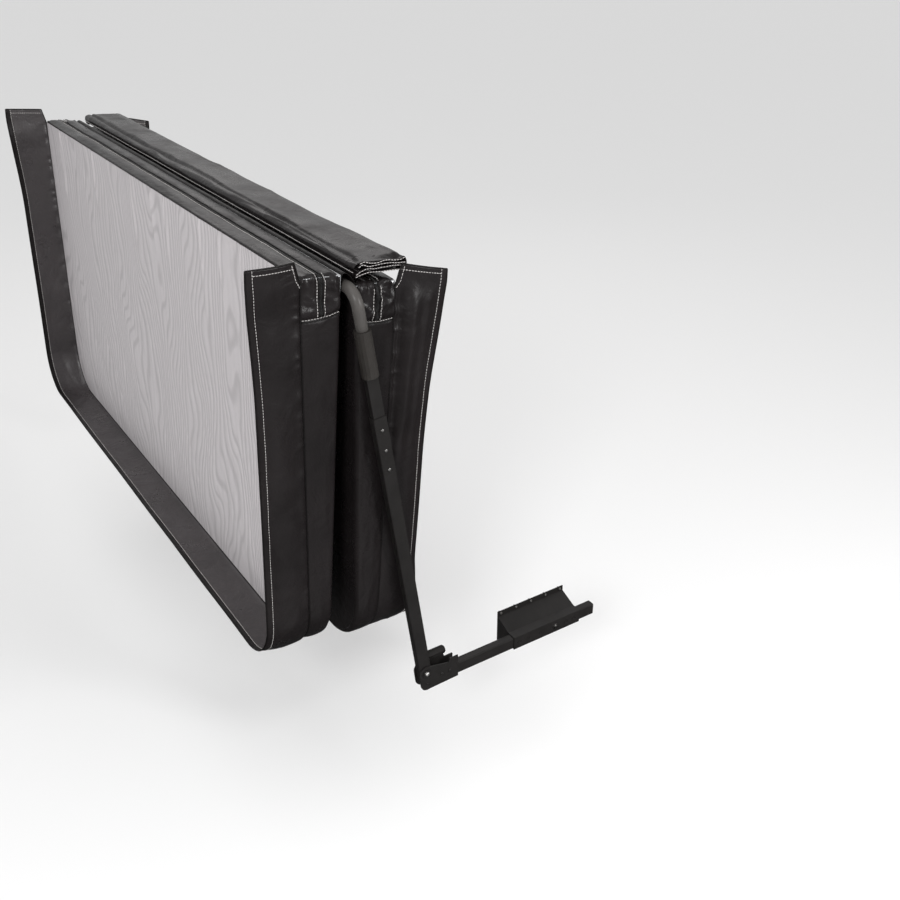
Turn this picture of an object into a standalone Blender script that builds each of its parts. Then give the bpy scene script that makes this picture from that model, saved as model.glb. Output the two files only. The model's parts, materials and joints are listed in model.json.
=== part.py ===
"""Folding spa cover hung on a side-mounted swing-arm lifter, in the open position.

World frame: metres, +Z up, +X towards the tub, +Y along the cover. The origin is the centre
of the near bracket's wall face. Each moving group hangs from an empty on its joint's axis.
"""
import math

import bmesh
import bpy
from mathutils import Matrix, Vector

# ---------------------------------------------------------------- driving dimensions
# cover
COVER_LENGTH = 2.13          # along the fold
HALF_DEPTH = 1.05            # from hinge face to free edge
HINGE_THICKNESS = 0.108
EDGE_THICKNESS = 0.062
CORNER_RADIUS = 0.15
JACKET_WALL = 0.0015
LINER_WALL = 0.0015
CHANNEL_WALL = 0.0012
CHANNEL_FLANGE = 0.045
SKIRT_DROP = 0.12
SKIRT_WALL = 0.003
FLAP_OVERHANG = 0.040        # how far a skirt end runs past the hinge face
FLAP_TAPER = 0.013
TAPE_WIDTH = 0.022
TAPE_THICKNESS = 0.002
TAPE_DROP = 0.085            # zipper tape down each end face
CLEARANCE = 0.0004

# fold and lean
TOP_GAP_HALF = 0.0175        # from the fold axis to each top face
TUB_SETBACK = 0.0365         # from the fold axis to the tub-side half's hinge face
OUTER_SETBACK = 0.006
TUB_LEAN = 3.0               # degrees from vertical
OUTER_LEAN = 5.2
FOLD_RISE = 0.0395           # fold axis above the crossbar

# lifter
WALL_SPAN = 2.04             # between the two wall faces
RAIL_OFFSET = 0.075          # from wall face to the middle of rail and arm
RAIL_Z = -0.010
RAIL_DEPTH = 0.025
RAIL_HEIGHT = 0.038
RAIL_WALL = 0.0016
RAIL_START_X = -0.400
RAIL_END_X = 0.182
PIVOT_X = -0.441
PIVOT_Z = 0.023
ARM_LENGTH = 1.195           # pivot to crossbar
ARM_LEAN = 7.78              # degrees outward from vertical
ARM_WIDTH = 0.038
ARM_DEPTH = 0.025
ARM_WALL = 0.0025
HEEL = 0.022                 # arm below its pivot
BUSH_RADIUS = 0.0085
LOWER_ARM_TOP = 0.863
ARM_SCREW_DROPS = (("top", 0.037), ("middle", 0.096), ("bottom", 0.153))
UPPER_ARM_START = 0.62
UPPER_ARM_TOP = 1.000
BAR_RADIUS = 0.015
BAR_WALL = 0.002
BAR_REACH = 1.06             # from each arm towards the middle of the cover
BAR_OVERLAP = 0.15           # of the joining tube inside each bent tube
BEND_RADIUS = 0.040
COUPLING_RADIUS = 0.0215
COUPLING_START = 0.975
COUPLING_END = 1.098

# bracket
BRACKET_LENGTH = 0.254
WALL_PLATE_HEIGHT = 0.108
SHEET = 0.0030
SOCKET_WALL = 0.0025
WEB_ROOT_Z = 0.036
SCREW_ROW_Z = 0.046
SCREW_HOLE_RADIUS = 0.0026
SCREW_XS = (-0.115, -0.0575, 0.0, 0.0575, 0.115)
CLAMP_BOLT_X = 0.032

# pivot
PLATE_THICKNESS = 0.004
PIVOT_BOLT_RADIUS = 0.005
SMALL_BOLT_RADIUS = 0.003
LOBE_X = -0.4386
LOBE_Z = -0.0155
PLATE_BOLTS = (("front", -0.390, 0.0), ("back", -0.362, 0.0))
WASHER_THICKNESS = 0.0015
LOBE_RADIUS = 0.022
PLATE_NOSE_RADIUS = 0.024     # round the pivot
PLATE_REACH = 0.108           # from the pivot to the end over the rail
PLATE_TAB_LENGTH = 0.028
PLATE_TAB_SLOPE = 0.006
OUTER_PLATE_TOPS = (0.030, 0.043)     # heights of the plate and of its tab
INNER_PLATE_TOPS = (0.046, 0.030)
BUMPER_RADIUS = 0.013
BUMPER_LENGTH = 0.064
BUMPER_AHEAD = 0.024          # of the pivot, towards the rail
BUMPER_RISE = 0.021

# Screw heads: radius, height.
ARM_SCREW_HEAD = (0.0048, 0.0024)
CLAMP_BOLT_HEAD = (0.0075, 0.0050)
PIVOT_BOLT_HEAD = (0.0072, 0.0050)
PLATE_BOLT_HEAD = (0.0055, 0.0032)
PIVOT_WASHER_RADIUS = 0.0135
PIVOT_NUT_ACROSS = 0.018
PIVOT_NUT_HEIGHT = 0.007
PIN_SHOULDER = 0.0055
PIN_HEAD = 0.0048
PIN_BULGE = 0.0018

# Cloth between the halves, in the tub-side half's frame.
HINGE_CLOTH_WALL = 0.0008
HINGE_CLOTH_ROUTE = (         # across the valley: X, and depth below the fold axis
    (-0.0166, 0.021), (-0.0164, 0.010), (-0.0120, 0.0050), (-0.0040, 0.0058),
    (0.0040, 0.0120), (0.0104, 0.0196), (0.0155, 0.0270), (0.0166, 0.0365),
    (0.0166, 0.0500))
HINGE_CLOTH_INSET = 0.004     # from each end of the cover
GUSSET_INSET = 0.006
GUSSET_X = (0.0135, 0.156)
GUSSET_Z = (-0.018, 0.013)
GUSSET_RADIUS = 0.010

# Zipper sliders.
SLIDER_WIDTH, SLIDER_LENGTH, SLIDER_HEIGHT = 0.014, 0.020, 0.005
SLIDER_FROM_END = 0.05
PULL_WIDTH, PULL_LENGTH = 0.007, 0.026
PULL_Z = (0.004, 0.0065)

# ---------------------------------------------------------------- derived places
HALF_LENGTH = COVER_LENGTH / 2
MIDDLE_Y = WALL_SPAN / 2
LINER_W = TOP_GAP_HALF + HINGE_THICKNESS
THICKNESS_SLOPE = (EDGE_THICKNESS - HINGE_THICKNESS) / HALF_DEPTH
INNER_FACE = RAIL_OFFSET - RAIL_DEPTH / 2 - CLEARANCE      # tub side of the plates' gap
OUTER_FACE = RAIL_OFFSET + RAIL_DEPTH / 2 + CLEARANCE

COVER = bpy.data.collections.new("spa_cover")
CUTTERS = bpy.data.collections.new("cutters")


# ---------------------------------------------------------------- helpers
def clear_scene():
    for thing in list(bpy.data.objects):
        bpy.data.objects.remove(thing, do_unlink=True)
    for group in (COVER, CUTTERS):
        bpy.context.scene.collection.children.link(group)


def material(name, colour, roughness, metallic=0.0):
    found = bpy.data.materials.get(name)
    if found:
        return found
    made = bpy.data.materials.new(name)
    made.use_nodes = True
    shader = made.node_tree.nodes["Principled BSDF"]
    shader.inputs["Base Color"].default_value = (*colour, 1.0)
    shader.inputs["Roughness"].default_value = roughness
    shader.inputs["Metallic"].default_value = metallic
    made.diffuse_color = (*colour, 1.0)
    return made


def vinyl(name):
    return material(name, (0.020, 0.019, 0.021), 0.35)


def stitched_vinyl(name):
    return material(name, (0.026, 0.025, 0.027), 0.40)


def liner_cloth(name):
    return material(name, (0.48, 0.46, 0.46), 0.6)


def foam(name):
    return material(name, (0.85, 0.86, 0.88), 0.9)


def black_steel(name):
    return material(name, (0.022, 0.022, 0.023), 0.45, 0.3)


def zinc(name):
    return material(name, (0.75, 0.75, 0.74), 0.25, 1.0)


def rubber(name):
    return material(name, (0.018, 0.017, 0.016), 0.7)


def cap_plastic(name):
    return material(name, (0.020, 0.020, 0.021), 0.5)


def galvanised(name):
    return material(name, (0.55, 0.56, 0.57), 0.4, 0.9)


def empty(name, place, tilt_y=0.0, turn_z=0.0, parent=None):
    made = bpy.data.objects.new(name, None)
    made.location = place
    made.rotation_euler = (0.0, math.radians(tilt_y), math.radians(turn_z))
    made.empty_display_size = 0.05
    COVER.objects.link(made)
    made.parent = parent
    return made


def take_mesh(temporary):
    """The evaluated mesh of a temporary object, welded, in its own coordinates."""
    COVER.objects.link(temporary)
    bpy.context.view_layer.update()
    evaluated = temporary.evaluated_get(bpy.context.evaluated_depsgraph_get())
    mesh = bpy.data.meshes.new_from_object(evaluated)
    bpy.data.objects.remove(temporary, do_unlink=True)
    welded = bmesh.new()
    welded.from_mesh(mesh)
    bmesh.ops.remove_doubles(welded, verts=welded.verts, dist=0.00002)
    welded.to_mesh(mesh)
    welded.free()
    return mesh


def circle(centre_a, centre_b, radius, sides):
    turn = 2 * math.pi / sides
    return [(centre_a + radius * math.cos(turn * i), centre_b + radius * math.sin(turn * i))
            for i in range(sides)]


def arc(centre_a, centre_b, radius, start, end, steps):
    angles = [math.radians(start + (end - start) * i / steps) for i in range(steps + 1)]
    return [(centre_a + radius * math.cos(a), centre_b + radius * math.sin(a)) for a in angles]


def rectangle(centre_a, centre_b, width, height, radius=0.0):
    half_a, half_b = width / 2 - radius, height / 2 - radius
    corners = ((1, 1, 0), (-1, 1, 90), (-1, -1, 180), (1, -1, 270))
    if radius == 0.0:
        return [(centre_a + half_a * a, centre_b + half_b * b) for a, b, _ in corners]
    points = []
    for a, b, start in corners:
        points += arc(centre_a + half_a * a, centre_b + half_b * b, radius, start, start + 90, 2)
    return points


PLANES = {
    "XY": Matrix.Identity(4),
    "XZ": Matrix(((1, 0, 0, 0), (0, 0, -1, 0), (0, 1, 0, 0), (0, 0, 0, 1))),
    "YZ": Matrix(((0, 0, 1, 0), (1, 0, 0, 0), (0, 1, 0, 0), (0, 0, 0, 1))),
}


def extruded(outlines, plane, low, high):
    """Flat outlines (the first outside, the rest holes) extruded across their plane."""
    flat = bpy.data.curves.new("outline", "CURVE")
    flat.dimensions = "2D"
    flat.fill_mode = "BOTH"
    flat.extrude = abs(high - low) / 2
    for outline in outlines:
        spline = flat.splines.new("POLY")
        spline.points.add(len(outline) - 1)
        for point, (a, b) in zip(spline.points, outline):
            point.co = (a, b, 0.0, 1.0)
        spline.use_cyclic_u = True
    mesh = take_mesh(bpy.data.objects.new("outline", flat))
    across = Vector([axis not in plane for axis in "XYZ"])
    mesh.transform(Matrix.Translation(across * (low + high) / 2) @ PLANES[plane])
    return mesh


def round_tube(points, radius, wall, sides_level=3):
    """A hollow tube along a path: an open swept skin thickened inward."""
    path = bpy.data.curves.new("path", "CURVE")
    path.dimensions = "3D"
    path.bevel_depth = radius
    path.bevel_resolution = sides_level
    path.use_fill_caps = False
    spline = path.splines.new("POLY")
    spline.points.add(len(points) - 1)
    for point, place in zip(spline.points, points):
        point.co = (*place, 1.0)
    skin = take_mesh(bpy.data.objects.new("path", path))
    return thickened(skin, wall)


def thickened(mesh, wall):
    """An open skin given a wall on the side its faces turn away from."""
    holder = bpy.data.objects.new("skin", mesh)
    solid = holder.modifiers.new("wall", "SOLIDIFY")
    solid.thickness = wall
    solid.offset = -1.0
    solid.use_even_offset = True
    return take_mesh(holder)


def turned(profile, steps=16, ring=False):
    """A turned solid about Z; the profile runs down its outer side from top to bottom."""
    mesh = bpy.data.meshes.new("profile")
    points = [(radius, 0.0, height) for radius, height in profile]
    edges = [(i, i + 1) for i in range(len(points) - 1)]
    if ring:
        edges.append((len(points) - 1, 0))
    mesh.from_pydata(points, edges, [])
    holder = bpy.data.objects.new("profile", mesh)
    screw = holder.modifiers.new("turn", "SCREW")
    screw.steps = steps
    screw.render_steps = steps
    screw.use_merge_vertices = True
    screw.merge_threshold = 0.0001
    return take_mesh(holder)


def moved(mesh, *steps):
    """The mesh after each matrix in turn."""
    for step in steps:
        mesh.transform(step)
    return mesh


def joined(meshes):
    """Several separate solids in one mesh."""
    whole = bmesh.new()
    for mesh in meshes:
        whole.from_mesh(mesh)
    result = bpy.data.meshes.new("joined")
    whole.to_mesh(result)
    whole.free()
    return result


def part(name, mesh, look, parent=None, smooth=False):
    mesh.name = name
    mesh.materials.clear()
    mesh.materials.append(look(name))
    made = bpy.data.objects.new(name, mesh)
    COVER.objects.link(made)
    made.parent = parent
    if smooth:
        mesh.shade_smooth()
        mesh.set_sharp_from_angle(angle=math.radians(35))
    return made


def combine(target, mesh, operation):
    """Cuts the mesh's shape out of the part, or joins it on."""
    helper = bpy.data.objects.new(f"{target.name}_{operation.lower()}", mesh)
    CUTTERS.objects.link(helper)
    helper.parent = target.parent
    helper.matrix_basis = target.matrix_basis
    helper.hide_render = True
    helper.display_type = "WIRE"
    step = target.modifiers.new(operation.lower(), "BOOLEAN")
    step.operation = operation
    step.solver = "EXACT"
    step.object = helper


def cut(target, mesh):
    combine(target, mesh, "DIFFERENCE")


def unite(target, mesh):
    combine(target, mesh, "UNION")


def shift(x=0.0, y=0.0, z=0.0):
    return Matrix.Translation((x, y, z))


def along_y(away):
    """Turns a piece made along +Z so that its top points along Y, the given way."""
    return Matrix.Rotation(math.radians(-90 * away), 4, "X")


# ---------------------------------------------------------------- small hardware
def button_head(head_radius, head_height, shank_radius, shank_length):
    """A domed screw, its seat at z = 0 and its head above."""
    profile = [(0.0, head_height), (head_radius * 0.6, head_height * 0.85),
               (head_radius, head_height * 0.3), (head_radius, 0.0), (shank_radius, 0.0),
               (shank_radius, -shank_length), (0.0, -shank_length)]
    return turned(profile, 12)


def hex_nut(across, height, bore):
    return extruded([circle(0, 0, across / 2, 6), circle(0, 0, bore, 12)], "XY", 0.0, height)


def washer(radius, bore, height):
    return extruded([circle(0, 0, radius, 16), circle(0, 0, bore, 12)], "XY", 0.0, height)


# ---------------------------------------------------------------- lifter mounts (fixed)
class Side:
    """One end of the lifter: where its wall is and which way leads away from the tub."""

    def __init__(self, name, wall_y, away):
        self.name = name
        self.wall_y = wall_y
        self.away = away

    def y(self, distance):
        return self.wall_y + self.away * distance

    def slab(self, outlines, near, far):
        """Outlines in X and Z, between two distances from the wall."""
        low, high = sorted((self.y(near), self.y(far)))
        return extruded(outlines, "XZ", low, high)

    def fastener(self, mesh, x, z, distance):
        """A piece made along +Z, pointing away from the tub at a distance from the wall."""
        return moved(mesh, along_y(self.away), shift(x, self.y(distance), z))


def mount_bracket(side, root):
    """Wall plate, sloping web and square socket folded from one profile, with end gussets."""
    y = side.y
    socket_depth = RAIL_DEPTH / 2 + CLEARANCE + SOCKET_WALL
    socket_height = RAIL_HEIGHT / 2 + CLEARANCE + SOCKET_WALL
    back, front = RAIL_OFFSET - socket_depth, RAIL_OFFSET + socket_depth
    top, bottom = RAIL_Z + socket_height, RAIL_Z - socket_height
    half = WALL_PLATE_HEIGHT / 2
    outside = [(y(0.0), half), (y(0.0), -half), (y(SHEET), -half),
               (y(SHEET), WEB_ROOT_Z - SHEET), (y(back), top - SHEET), (y(back), bottom),
               (y(front), bottom), (y(front), top), (y(back), top),
               (y(SHEET), WEB_ROOT_Z), (y(SHEET), half)]
    middle = y(RAIL_OFFSET)
    bore = rectangle(middle, RAIL_Z, RAIL_DEPTH + 2 * CLEARANCE, RAIL_HEIGHT + 2 * CLEARANCE)
    length = BRACKET_LENGTH / 2
    bracket = part(side.name + "_mount_bracket",
                   extruded([outside, bore], "YZ", -length, length), black_steel, root)
    bite = SHEET / 2
    gusset = [(y(bite), WEB_ROOT_Z - bite), (y(back + bite), top - bite),
              (y(back + bite), bottom + bite), (y(bite), bite - half)]
    for end in (-1, 1):
        low, high = sorted((end * (length - CLEARANCE), end * (length - CLEARANCE - SHEET)))
        unite(bracket, extruded([gusset], "YZ", low, high))
    holes = [side.slab([circle(x, SCREW_ROW_Z, SCREW_HOLE_RADIUS, 10)], -SHEET, 2 * SHEET)
             for x in SCREW_XS]
    clamp_hole = circle(CLAMP_BOLT_X, RAIL_Z, SMALL_BOLT_RADIUS + CLEARANCE, 10)
    holes.append(side.slab([clamp_hole], front - 1.5 * SOCKET_WALL, front + SOCKET_WALL))
    cut(bracket, joined(holes))
    bolt = button_head(*CLAMP_BOLT_HEAD, SMALL_BOLT_RADIUS, SOCKET_WALL)
    part(side.name + "_clamp_bolt",
         side.fastener(bolt, CLAMP_BOLT_X, RAIL_Z, front + CLEARANCE), zinc, root, smooth=True)


def rail(side, root):
    middle = side.y(RAIL_OFFSET)
    outer = rectangle(middle, RAIL_Z, RAIL_DEPTH, RAIL_HEIGHT, 0.003)
    inner = rectangle(middle, RAIL_Z, RAIL_DEPTH - 2 * RAIL_WALL, RAIL_HEIGHT - 2 * RAIL_WALL,
                      0.0015)
    tube = part(side.name + "_rail_tube",
                extruded([outer, inner], "YZ", RAIL_START_X, RAIL_END_X), black_steel, root)
    hole = SMALL_BOLT_RADIUS + CLEARANCE
    cut(tube, joined([side.slab([circle(x, z, hole, 10)], RAIL_OFFSET - RAIL_DEPTH,
                                RAIL_OFFSET + RAIL_DEPTH) for _, x, z in PLATE_BOLTS]))
    plug_gap = 2 * (RAIL_WALL + CLEARANCE)
    plug = extruded([rectangle(middle, RAIL_Z, RAIL_DEPTH - plug_gap, RAIL_HEIGHT - plug_gap,
                               0.001)], "YZ", RAIL_END_X - 0.012, RAIL_END_X + 0.002)
    head = extruded([outer], "YZ", RAIL_END_X + CLEARANCE, RAIL_END_X + 0.004)
    cap = part(side.name + "_rail_end_cap", head, cap_plastic, root)
    unite(cap, plug)


def plate_outline(top_z, tab_z):
    """The pivot plate: a lobe below the pivot, and a foot that runs back over the rail."""
    foot_x = PIVOT_X + PLATE_REACH
    bottom_z = RAIL_Z - RAIL_HEIGHT / 2 - PLATE_THICKNESS
    tab_x = foot_x - PLATE_TAB_LENGTH
    outline = arc(LOBE_X, LOBE_Z, LOBE_RADIUS, 180, 290, 5)
    outline += [(foot_x, bottom_z), (foot_x, tab_z), (tab_x, tab_z),
                (tab_x - PLATE_TAB_SLOPE, top_z)]
    outline += arc(PIVOT_X, PIVOT_Z, PLATE_NOSE_RADIUS, 60, 180, 6)
    return outline


def pivot_plates(side, root):
    pivot_hole = circle(PIVOT_X, PIVOT_Z, PIVOT_BOLT_RADIUS + CLEARANCE, 12)
    holes = [pivot_hole, circle(LOBE_X, LOBE_Z, SMALL_BOLT_RADIUS + CLEARANCE, 10)]
    holes += [circle(x, z, SMALL_BOLT_RADIUS + CLEARANCE, 10) for _, x, z in PLATE_BOLTS]
    outer = plate_outline(*OUTER_PLATE_TOPS)
    inner = plate_outline(*INNER_PLATE_TOPS)
    part(side.name + "_outer_pivot_plate",
         side.slab([outer] + holes, OUTER_FACE, OUTER_FACE + PLATE_THICKNESS), black_steel, root)
    part(side.name + "_inner_pivot_plate",
         side.slab([inner] + holes, INNER_FACE - PLATE_THICKNESS, INNER_FACE), black_steel, root)


def pivot_hardware(side, root):
    outside = OUTER_FACE + PLATE_THICKNESS + CLEARANCE
    inside = INNER_FACE - PLATE_THICKNESS - CLEARANCE
    seat = outside + WASHER_THICKNESS + CLEARANCE
    tail = seat - inside + 0.010
    pivot = button_head(*PIVOT_BOLT_HEAD, PIVOT_BOLT_RADIUS, tail)
    part(side.name + "_pivot_bolt", side.fastener(pivot, PIVOT_X, PIVOT_Z, seat), zinc, root,
         smooth=True)
    bore = PIVOT_BOLT_RADIUS + CLEARANCE
    disc = washer(PIVOT_WASHER_RADIUS, bore, WASHER_THICKNESS)
    part(side.name + "_pivot_washer", side.fastener(disc, PIVOT_X, PIVOT_Z, outside),
         galvanised, root)
    nut = side.fastener(hex_nut(PIVOT_NUT_ACROSS, PIVOT_NUT_HEIGHT, bore), PIVOT_X, PIVOT_Z,
                        inside - PIVOT_NUT_HEIGHT)
    part(side.name + "_pivot_nut", nut, zinc, root)
    grip = outside - inside
    for place, x, z in PLATE_BOLTS:
        bolt = button_head(*PLATE_BOLT_HEAD, SMALL_BOLT_RADIUS, grip + 0.002)
        part(f"{side.name}_plate_bolt_{place}", side.fastener(bolt, x, z, outside),
             black_steel, root, smooth=True)


def spacer_pin(side, root):
    """A shouldered pin that keeps the plates apart below the pivot, riveted at both ends."""
    inside = INNER_FACE - PLATE_THICKNESS - CLEARANCE
    outside = OUTER_FACE + PLATE_THICKNESS + CLEARANCE
    shoulder, shank, head, bulge = PIN_SHOULDER, SMALL_BOLT_RADIUS, PIN_HEAD, PIN_BULGE
    profile = [(0.0, outside + bulge), (head * 0.7, outside + bulge), (head, outside),
               (shank, outside), (shank, OUTER_FACE - CLEARANCE),
               (shoulder, OUTER_FACE - CLEARANCE), (shoulder, INNER_FACE + CLEARANCE),
               (shank, INNER_FACE + CLEARANCE), (shank, inside), (head, inside),
               (head * 0.7, inside - bulge), (0.0, inside - bulge)]
    part(side.name + "_spacer_pin", side.fastener(turned(profile, 12), LOBE_X, LOBE_Z, 0.0),
         black_steel, root)


def stop_bumper(side, root):
    """A rubber roller along the top of the inner plate, on the tub side."""
    radius, length = BUMPER_RADIUS, BUMPER_LENGTH
    profile = [(0.0, length), (radius * 0.8, length), (radius, length * 0.94),
               (radius, length * 0.06), (radius * 0.8, 0.0), (0.0, 0.0)]
    distance = INNER_FACE - PLATE_THICKNESS - CLEARANCE - radius
    roller = moved(turned(profile, 14), Matrix.Rotation(math.radians(90), 4, "Y"),
                   shift(PIVOT_X + BUMPER_AHEAD, side.y(distance), PIVOT_Z + BUMPER_RISE))
    part(side.name + "_stop_bumper", roller, rubber, root, smooth=True)


def build_mounts():
    sides = (Side("near", 0.0, -1), Side("far", WALL_SPAN, 1))
    for side in sides:
        root = empty(side.name + "_mount_frame", (0, 0, 0))
        mount_bracket(side, root)
        rail(side, root)
        pivot_plates(side, root)
        pivot_hardware(side, root)
        spacer_pin(side, root)
        stop_bumper(side, root)
    return sides


# ---------------------------------------------------------------- lift frame (swings)
def bent_path(side, start):
    """Up the arm, round the bend and along the cover, in the lift frame's own axes."""
    arm_y = side.y(RAIL_OFFSET)
    inward = -side.away
    points = [(0.0, arm_y, start)]
    for i in range(7):
        angle = math.radians(90 * i / 6)
        points.append((0.0, arm_y + inward * BEND_RADIUS * (1 - math.cos(angle)),
                       ARM_LENGTH - BEND_RADIUS * (1 - math.sin(angle))))
    points.append((0.0, arm_y + inward * BAR_REACH, ARM_LENGTH))
    return points


def arm(side, frame):
    middle = side.y(RAIL_OFFSET)
    outer = rectangle(0.0, middle, ARM_WIDTH, ARM_DEPTH, 0.003)
    inner = rectangle(0.0, middle, ARM_WIDTH - 2 * ARM_WALL, ARM_DEPTH - 2 * ARM_WALL, 0.0015)
    lower = part(side.name + "_lower_arm",
                 extruded([outer, inner], "XY", -HEEL, LOWER_ARM_TOP), black_steel, frame)
    slack = 2 * (ARM_WALL + CLEARANCE)
    fit_width, fit_depth = ARM_WIDTH - slack, ARM_DEPTH - slack
    slide = rectangle(0.0, middle, fit_width, fit_depth, 0.001)
    slide_bore = rectangle(0.0, middle, fit_width - 2 * ARM_WALL, fit_depth - 2 * ARM_WALL,
                           0.0008)
    upper = part(side.name + "_upper_arm",
                 extruded([slide, slide_bore], "XY", UPPER_ARM_START, UPPER_ARM_TOP),
                 black_steel, frame)

    bush_hole = side.slab([circle(0, 0, BUSH_RADIUS + CLEARANCE, 12)],
                          RAIL_OFFSET - ARM_DEPTH, RAIL_OFFSET + ARM_DEPTH)
    screw_hole = SMALL_BOLT_RADIUS + CLEARANCE
    screw_cuts = [side.slab([circle(0, LOWER_ARM_TOP - drop, screw_hole, 10)], RAIL_OFFSET,
                            RAIL_OFFSET + ARM_DEPTH) for _, drop in ARM_SCREW_DROPS]
    cut(lower, joined([bush_hole] + screw_cuts))
    cut(upper, joined(screw_cuts))
    seat = RAIL_OFFSET + ARM_DEPTH / 2 + CLEARANCE
    for place, drop in ARM_SCREW_DROPS:
        screw = button_head(*ARM_SCREW_HEAD, SMALL_BOLT_RADIUS, 2 * SMALL_BOLT_RADIUS)
        part(f"{side.name}_arm_screw_{place}",
             side.fastener(screw, 0, LOWER_ARM_TOP - drop, seat), zinc, frame, smooth=True)
    bush = washer(BUSH_RADIUS, PIVOT_BOLT_RADIUS + CLEARANCE, ARM_DEPTH)
    part(side.name + "_pivot_bushing",
         side.fastener(bush, 0, 0, RAIL_OFFSET - ARM_DEPTH / 2), cap_plastic, frame)


def coupling(side, frame):
    """A stepped sleeve from the flat upper arm to the round bent tube."""
    arm_reach = math.hypot(ARM_WIDTH / 2 - ARM_WALL, ARM_DEPTH / 2 - ARM_WALL)
    round_bore = BAR_RADIUS + CLEARANCE
    step = UPPER_ARM_TOP + 2 * CLEARANCE
    profile = [(COUPLING_RADIUS, COUPLING_END), (COUPLING_RADIUS, COUPLING_START),
               (arm_reach, COUPLING_START), (arm_reach, step), (round_bore, step),
               (round_bore, COUPLING_END)]
    part(side.name + "_coupling_sleeve",
         moved(turned(profile, 16, ring=True), shift(0, side.y(RAIL_OFFSET), 0)),
         cap_plastic, frame, smooth=True)


def build_lift_frame(sides):
    frame = empty("lift_frame_axis", (PIVOT_X, 0, PIVOT_Z), tilt_y=-ARM_LEAN)
    for side in sides:
        arm(side, frame)
        coupling(side, frame)
        path = bent_path(side, UPPER_ARM_TOP + 3 * CLEARANCE)
        part(side.name + "_crossbar_bend", round_tube(path, BAR_RADIUS, BAR_WALL),
             black_steel, frame, smooth=True)
    first = sides[0].y(RAIL_OFFSET) + BAR_REACH - BAR_OVERLAP
    last = sides[1].y(RAIL_OFFSET) - BAR_REACH + BAR_OVERLAP
    joiner = [(0.0, first, ARM_LENGTH), (0.0, last, ARM_LENGTH)]
    part("crossbar_joiner", round_tube(joiner, BAR_RADIUS - BAR_WALL - CLEARANCE, BAR_WALL),
         black_steel, frame, smooth=True)


# ---------------------------------------------------------------- cover halves
def liner_plane(depth_in, setback):
    """Height of the liner above the fold plane at a depth from the hinge face."""
    inside = max(depth_in - setback, 0.0)
    return LINER_W + THICKNESS_SLOPE * inside


def tapered_slab(setback, inset, low, high, ahead=0.0):
    """A slab with two round corners at its free edge.

    Local axes: X from top face to liner, Y along the fold, Z up to the fold axis. low and
    high give X at a depth below the axis; ahead pushes the hinge end towards the axis.
    """
    start = setback + inset - ahead
    end = setback + HALF_DEPTH - inset
    half = HALF_LENGTH - inset
    body = bmesh.new()
    bmesh.ops.create_cube(body, size=1.0)
    for vert in body.verts:
        vert.co.y *= 2 * half
        vert.co.z = -start if vert.co.z > 0 else -end
    corners = [edge for edge in body.edges
               if all(abs(v.co.z + end) < 1e-6 for v in edge.verts)
               and abs(edge.verts[0].co.y - edge.verts[1].co.y) < 1e-6]
    bmesh.ops.bevel(body, geom=corners, offset=CORNER_RADIUS - inset, segments=6, profile=0.5,
                    affect="EDGES")
    if ahead > 0:
        flat = (0, 0, -(start + ahead))
        everything = body.verts[:] + body.edges[:] + body.faces[:]
        bmesh.ops.bisect_plane(body, geom=everything, plane_co=flat, plane_no=(0, 0, 1))
    for vert in body.verts:
        vert.co.x = (high if vert.co.x > 0 else low)(-vert.co.z)
    return body


def drop_faces(body, unwanted):
    bmesh.ops.delete(body, geom=[f for f in body.faces if unwanted(f)], context="FACES")


def to_mesh(body):
    bmesh.ops.recalc_face_normals(body, faces=body.faces)
    mesh = bpy.data.meshes.new("slab")
    body.to_mesh(mesh)
    body.free()
    return mesh


def facing(x=0.0, z=0.0):
    """Picks the faces that look mostly along a local direction."""
    aim = Vector((x, 0, z))
    return lambda face: face.normal.dot(aim) > 0.9


def jacket_mesh(setback):
    body = tapered_slab(setback, 0.0, lambda u: TOP_GAP_HALF, lambda u: liner_plane(u, setback))
    body.normal_update()
    drop_faces(body, facing(x=1.0))
    return thickened(oriented(body, setback), JACKET_WALL)


def oriented(body, setback):
    """An open skin whose faces all turn away from the middle of the half."""
    mesh = bpy.data.meshes.new("skin")
    middle = Vector((LINER_W / 2, 0, -(setback + HALF_DEPTH / 2)))
    bmesh.ops.recalc_face_normals(body, faces=body.faces)
    widest = max(body.faces, key=lambda f: f.calc_area())
    if widest.normal.dot(widest.calc_center_median() - middle) < 0:
        bmesh.ops.reverse_faces(body, faces=body.faces)
    body.to_mesh(mesh)
    body.free()
    return mesh


def skirt_mesh(setback, outset):
    low = lambda u: liner_plane(u, setback) + CLEARANCE
    high = lambda u: liner_plane(u, setback) + SKIRT_DROP
    body = tapered_slab(setback, -outset, low, high, ahead=FLAP_OVERHANG)
    body.normal_update()
    drop_faces(body, facing(x=1.0))
    drop_faces(body, facing(x=-1.0))
    drop_faces(body, facing(z=1.0))
    tip = max(vert.co.z for vert in body.verts)
    for vert in body.verts:
        if abs(vert.co.z - tip) < 1e-6 and vert.co.x < LINER_W + SKIRT_DROP / 2:
            vert.co.x += FLAP_TAPER
    return thickened(oriented(body, setback), SKIRT_WALL)


def liner_mesh(setback):
    inset = JACKET_WALL + CLEARANCE
    return to_mesh(tapered_slab(setback, inset, lambda u: liner_plane(u, setback) - LINER_WALL,
                                lambda u: liner_plane(u, setback)))


def core_mesh(setback):
    margin = JACKET_WALL + 2 * CLEARANCE + CHANNEL_WALL + CLEARANCE
    return to_mesh(tapered_slab(setback, margin, lambda u: TOP_GAP_HALF + margin,
                                lambda u: liner_plane(u, setback) - margin))


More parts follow.
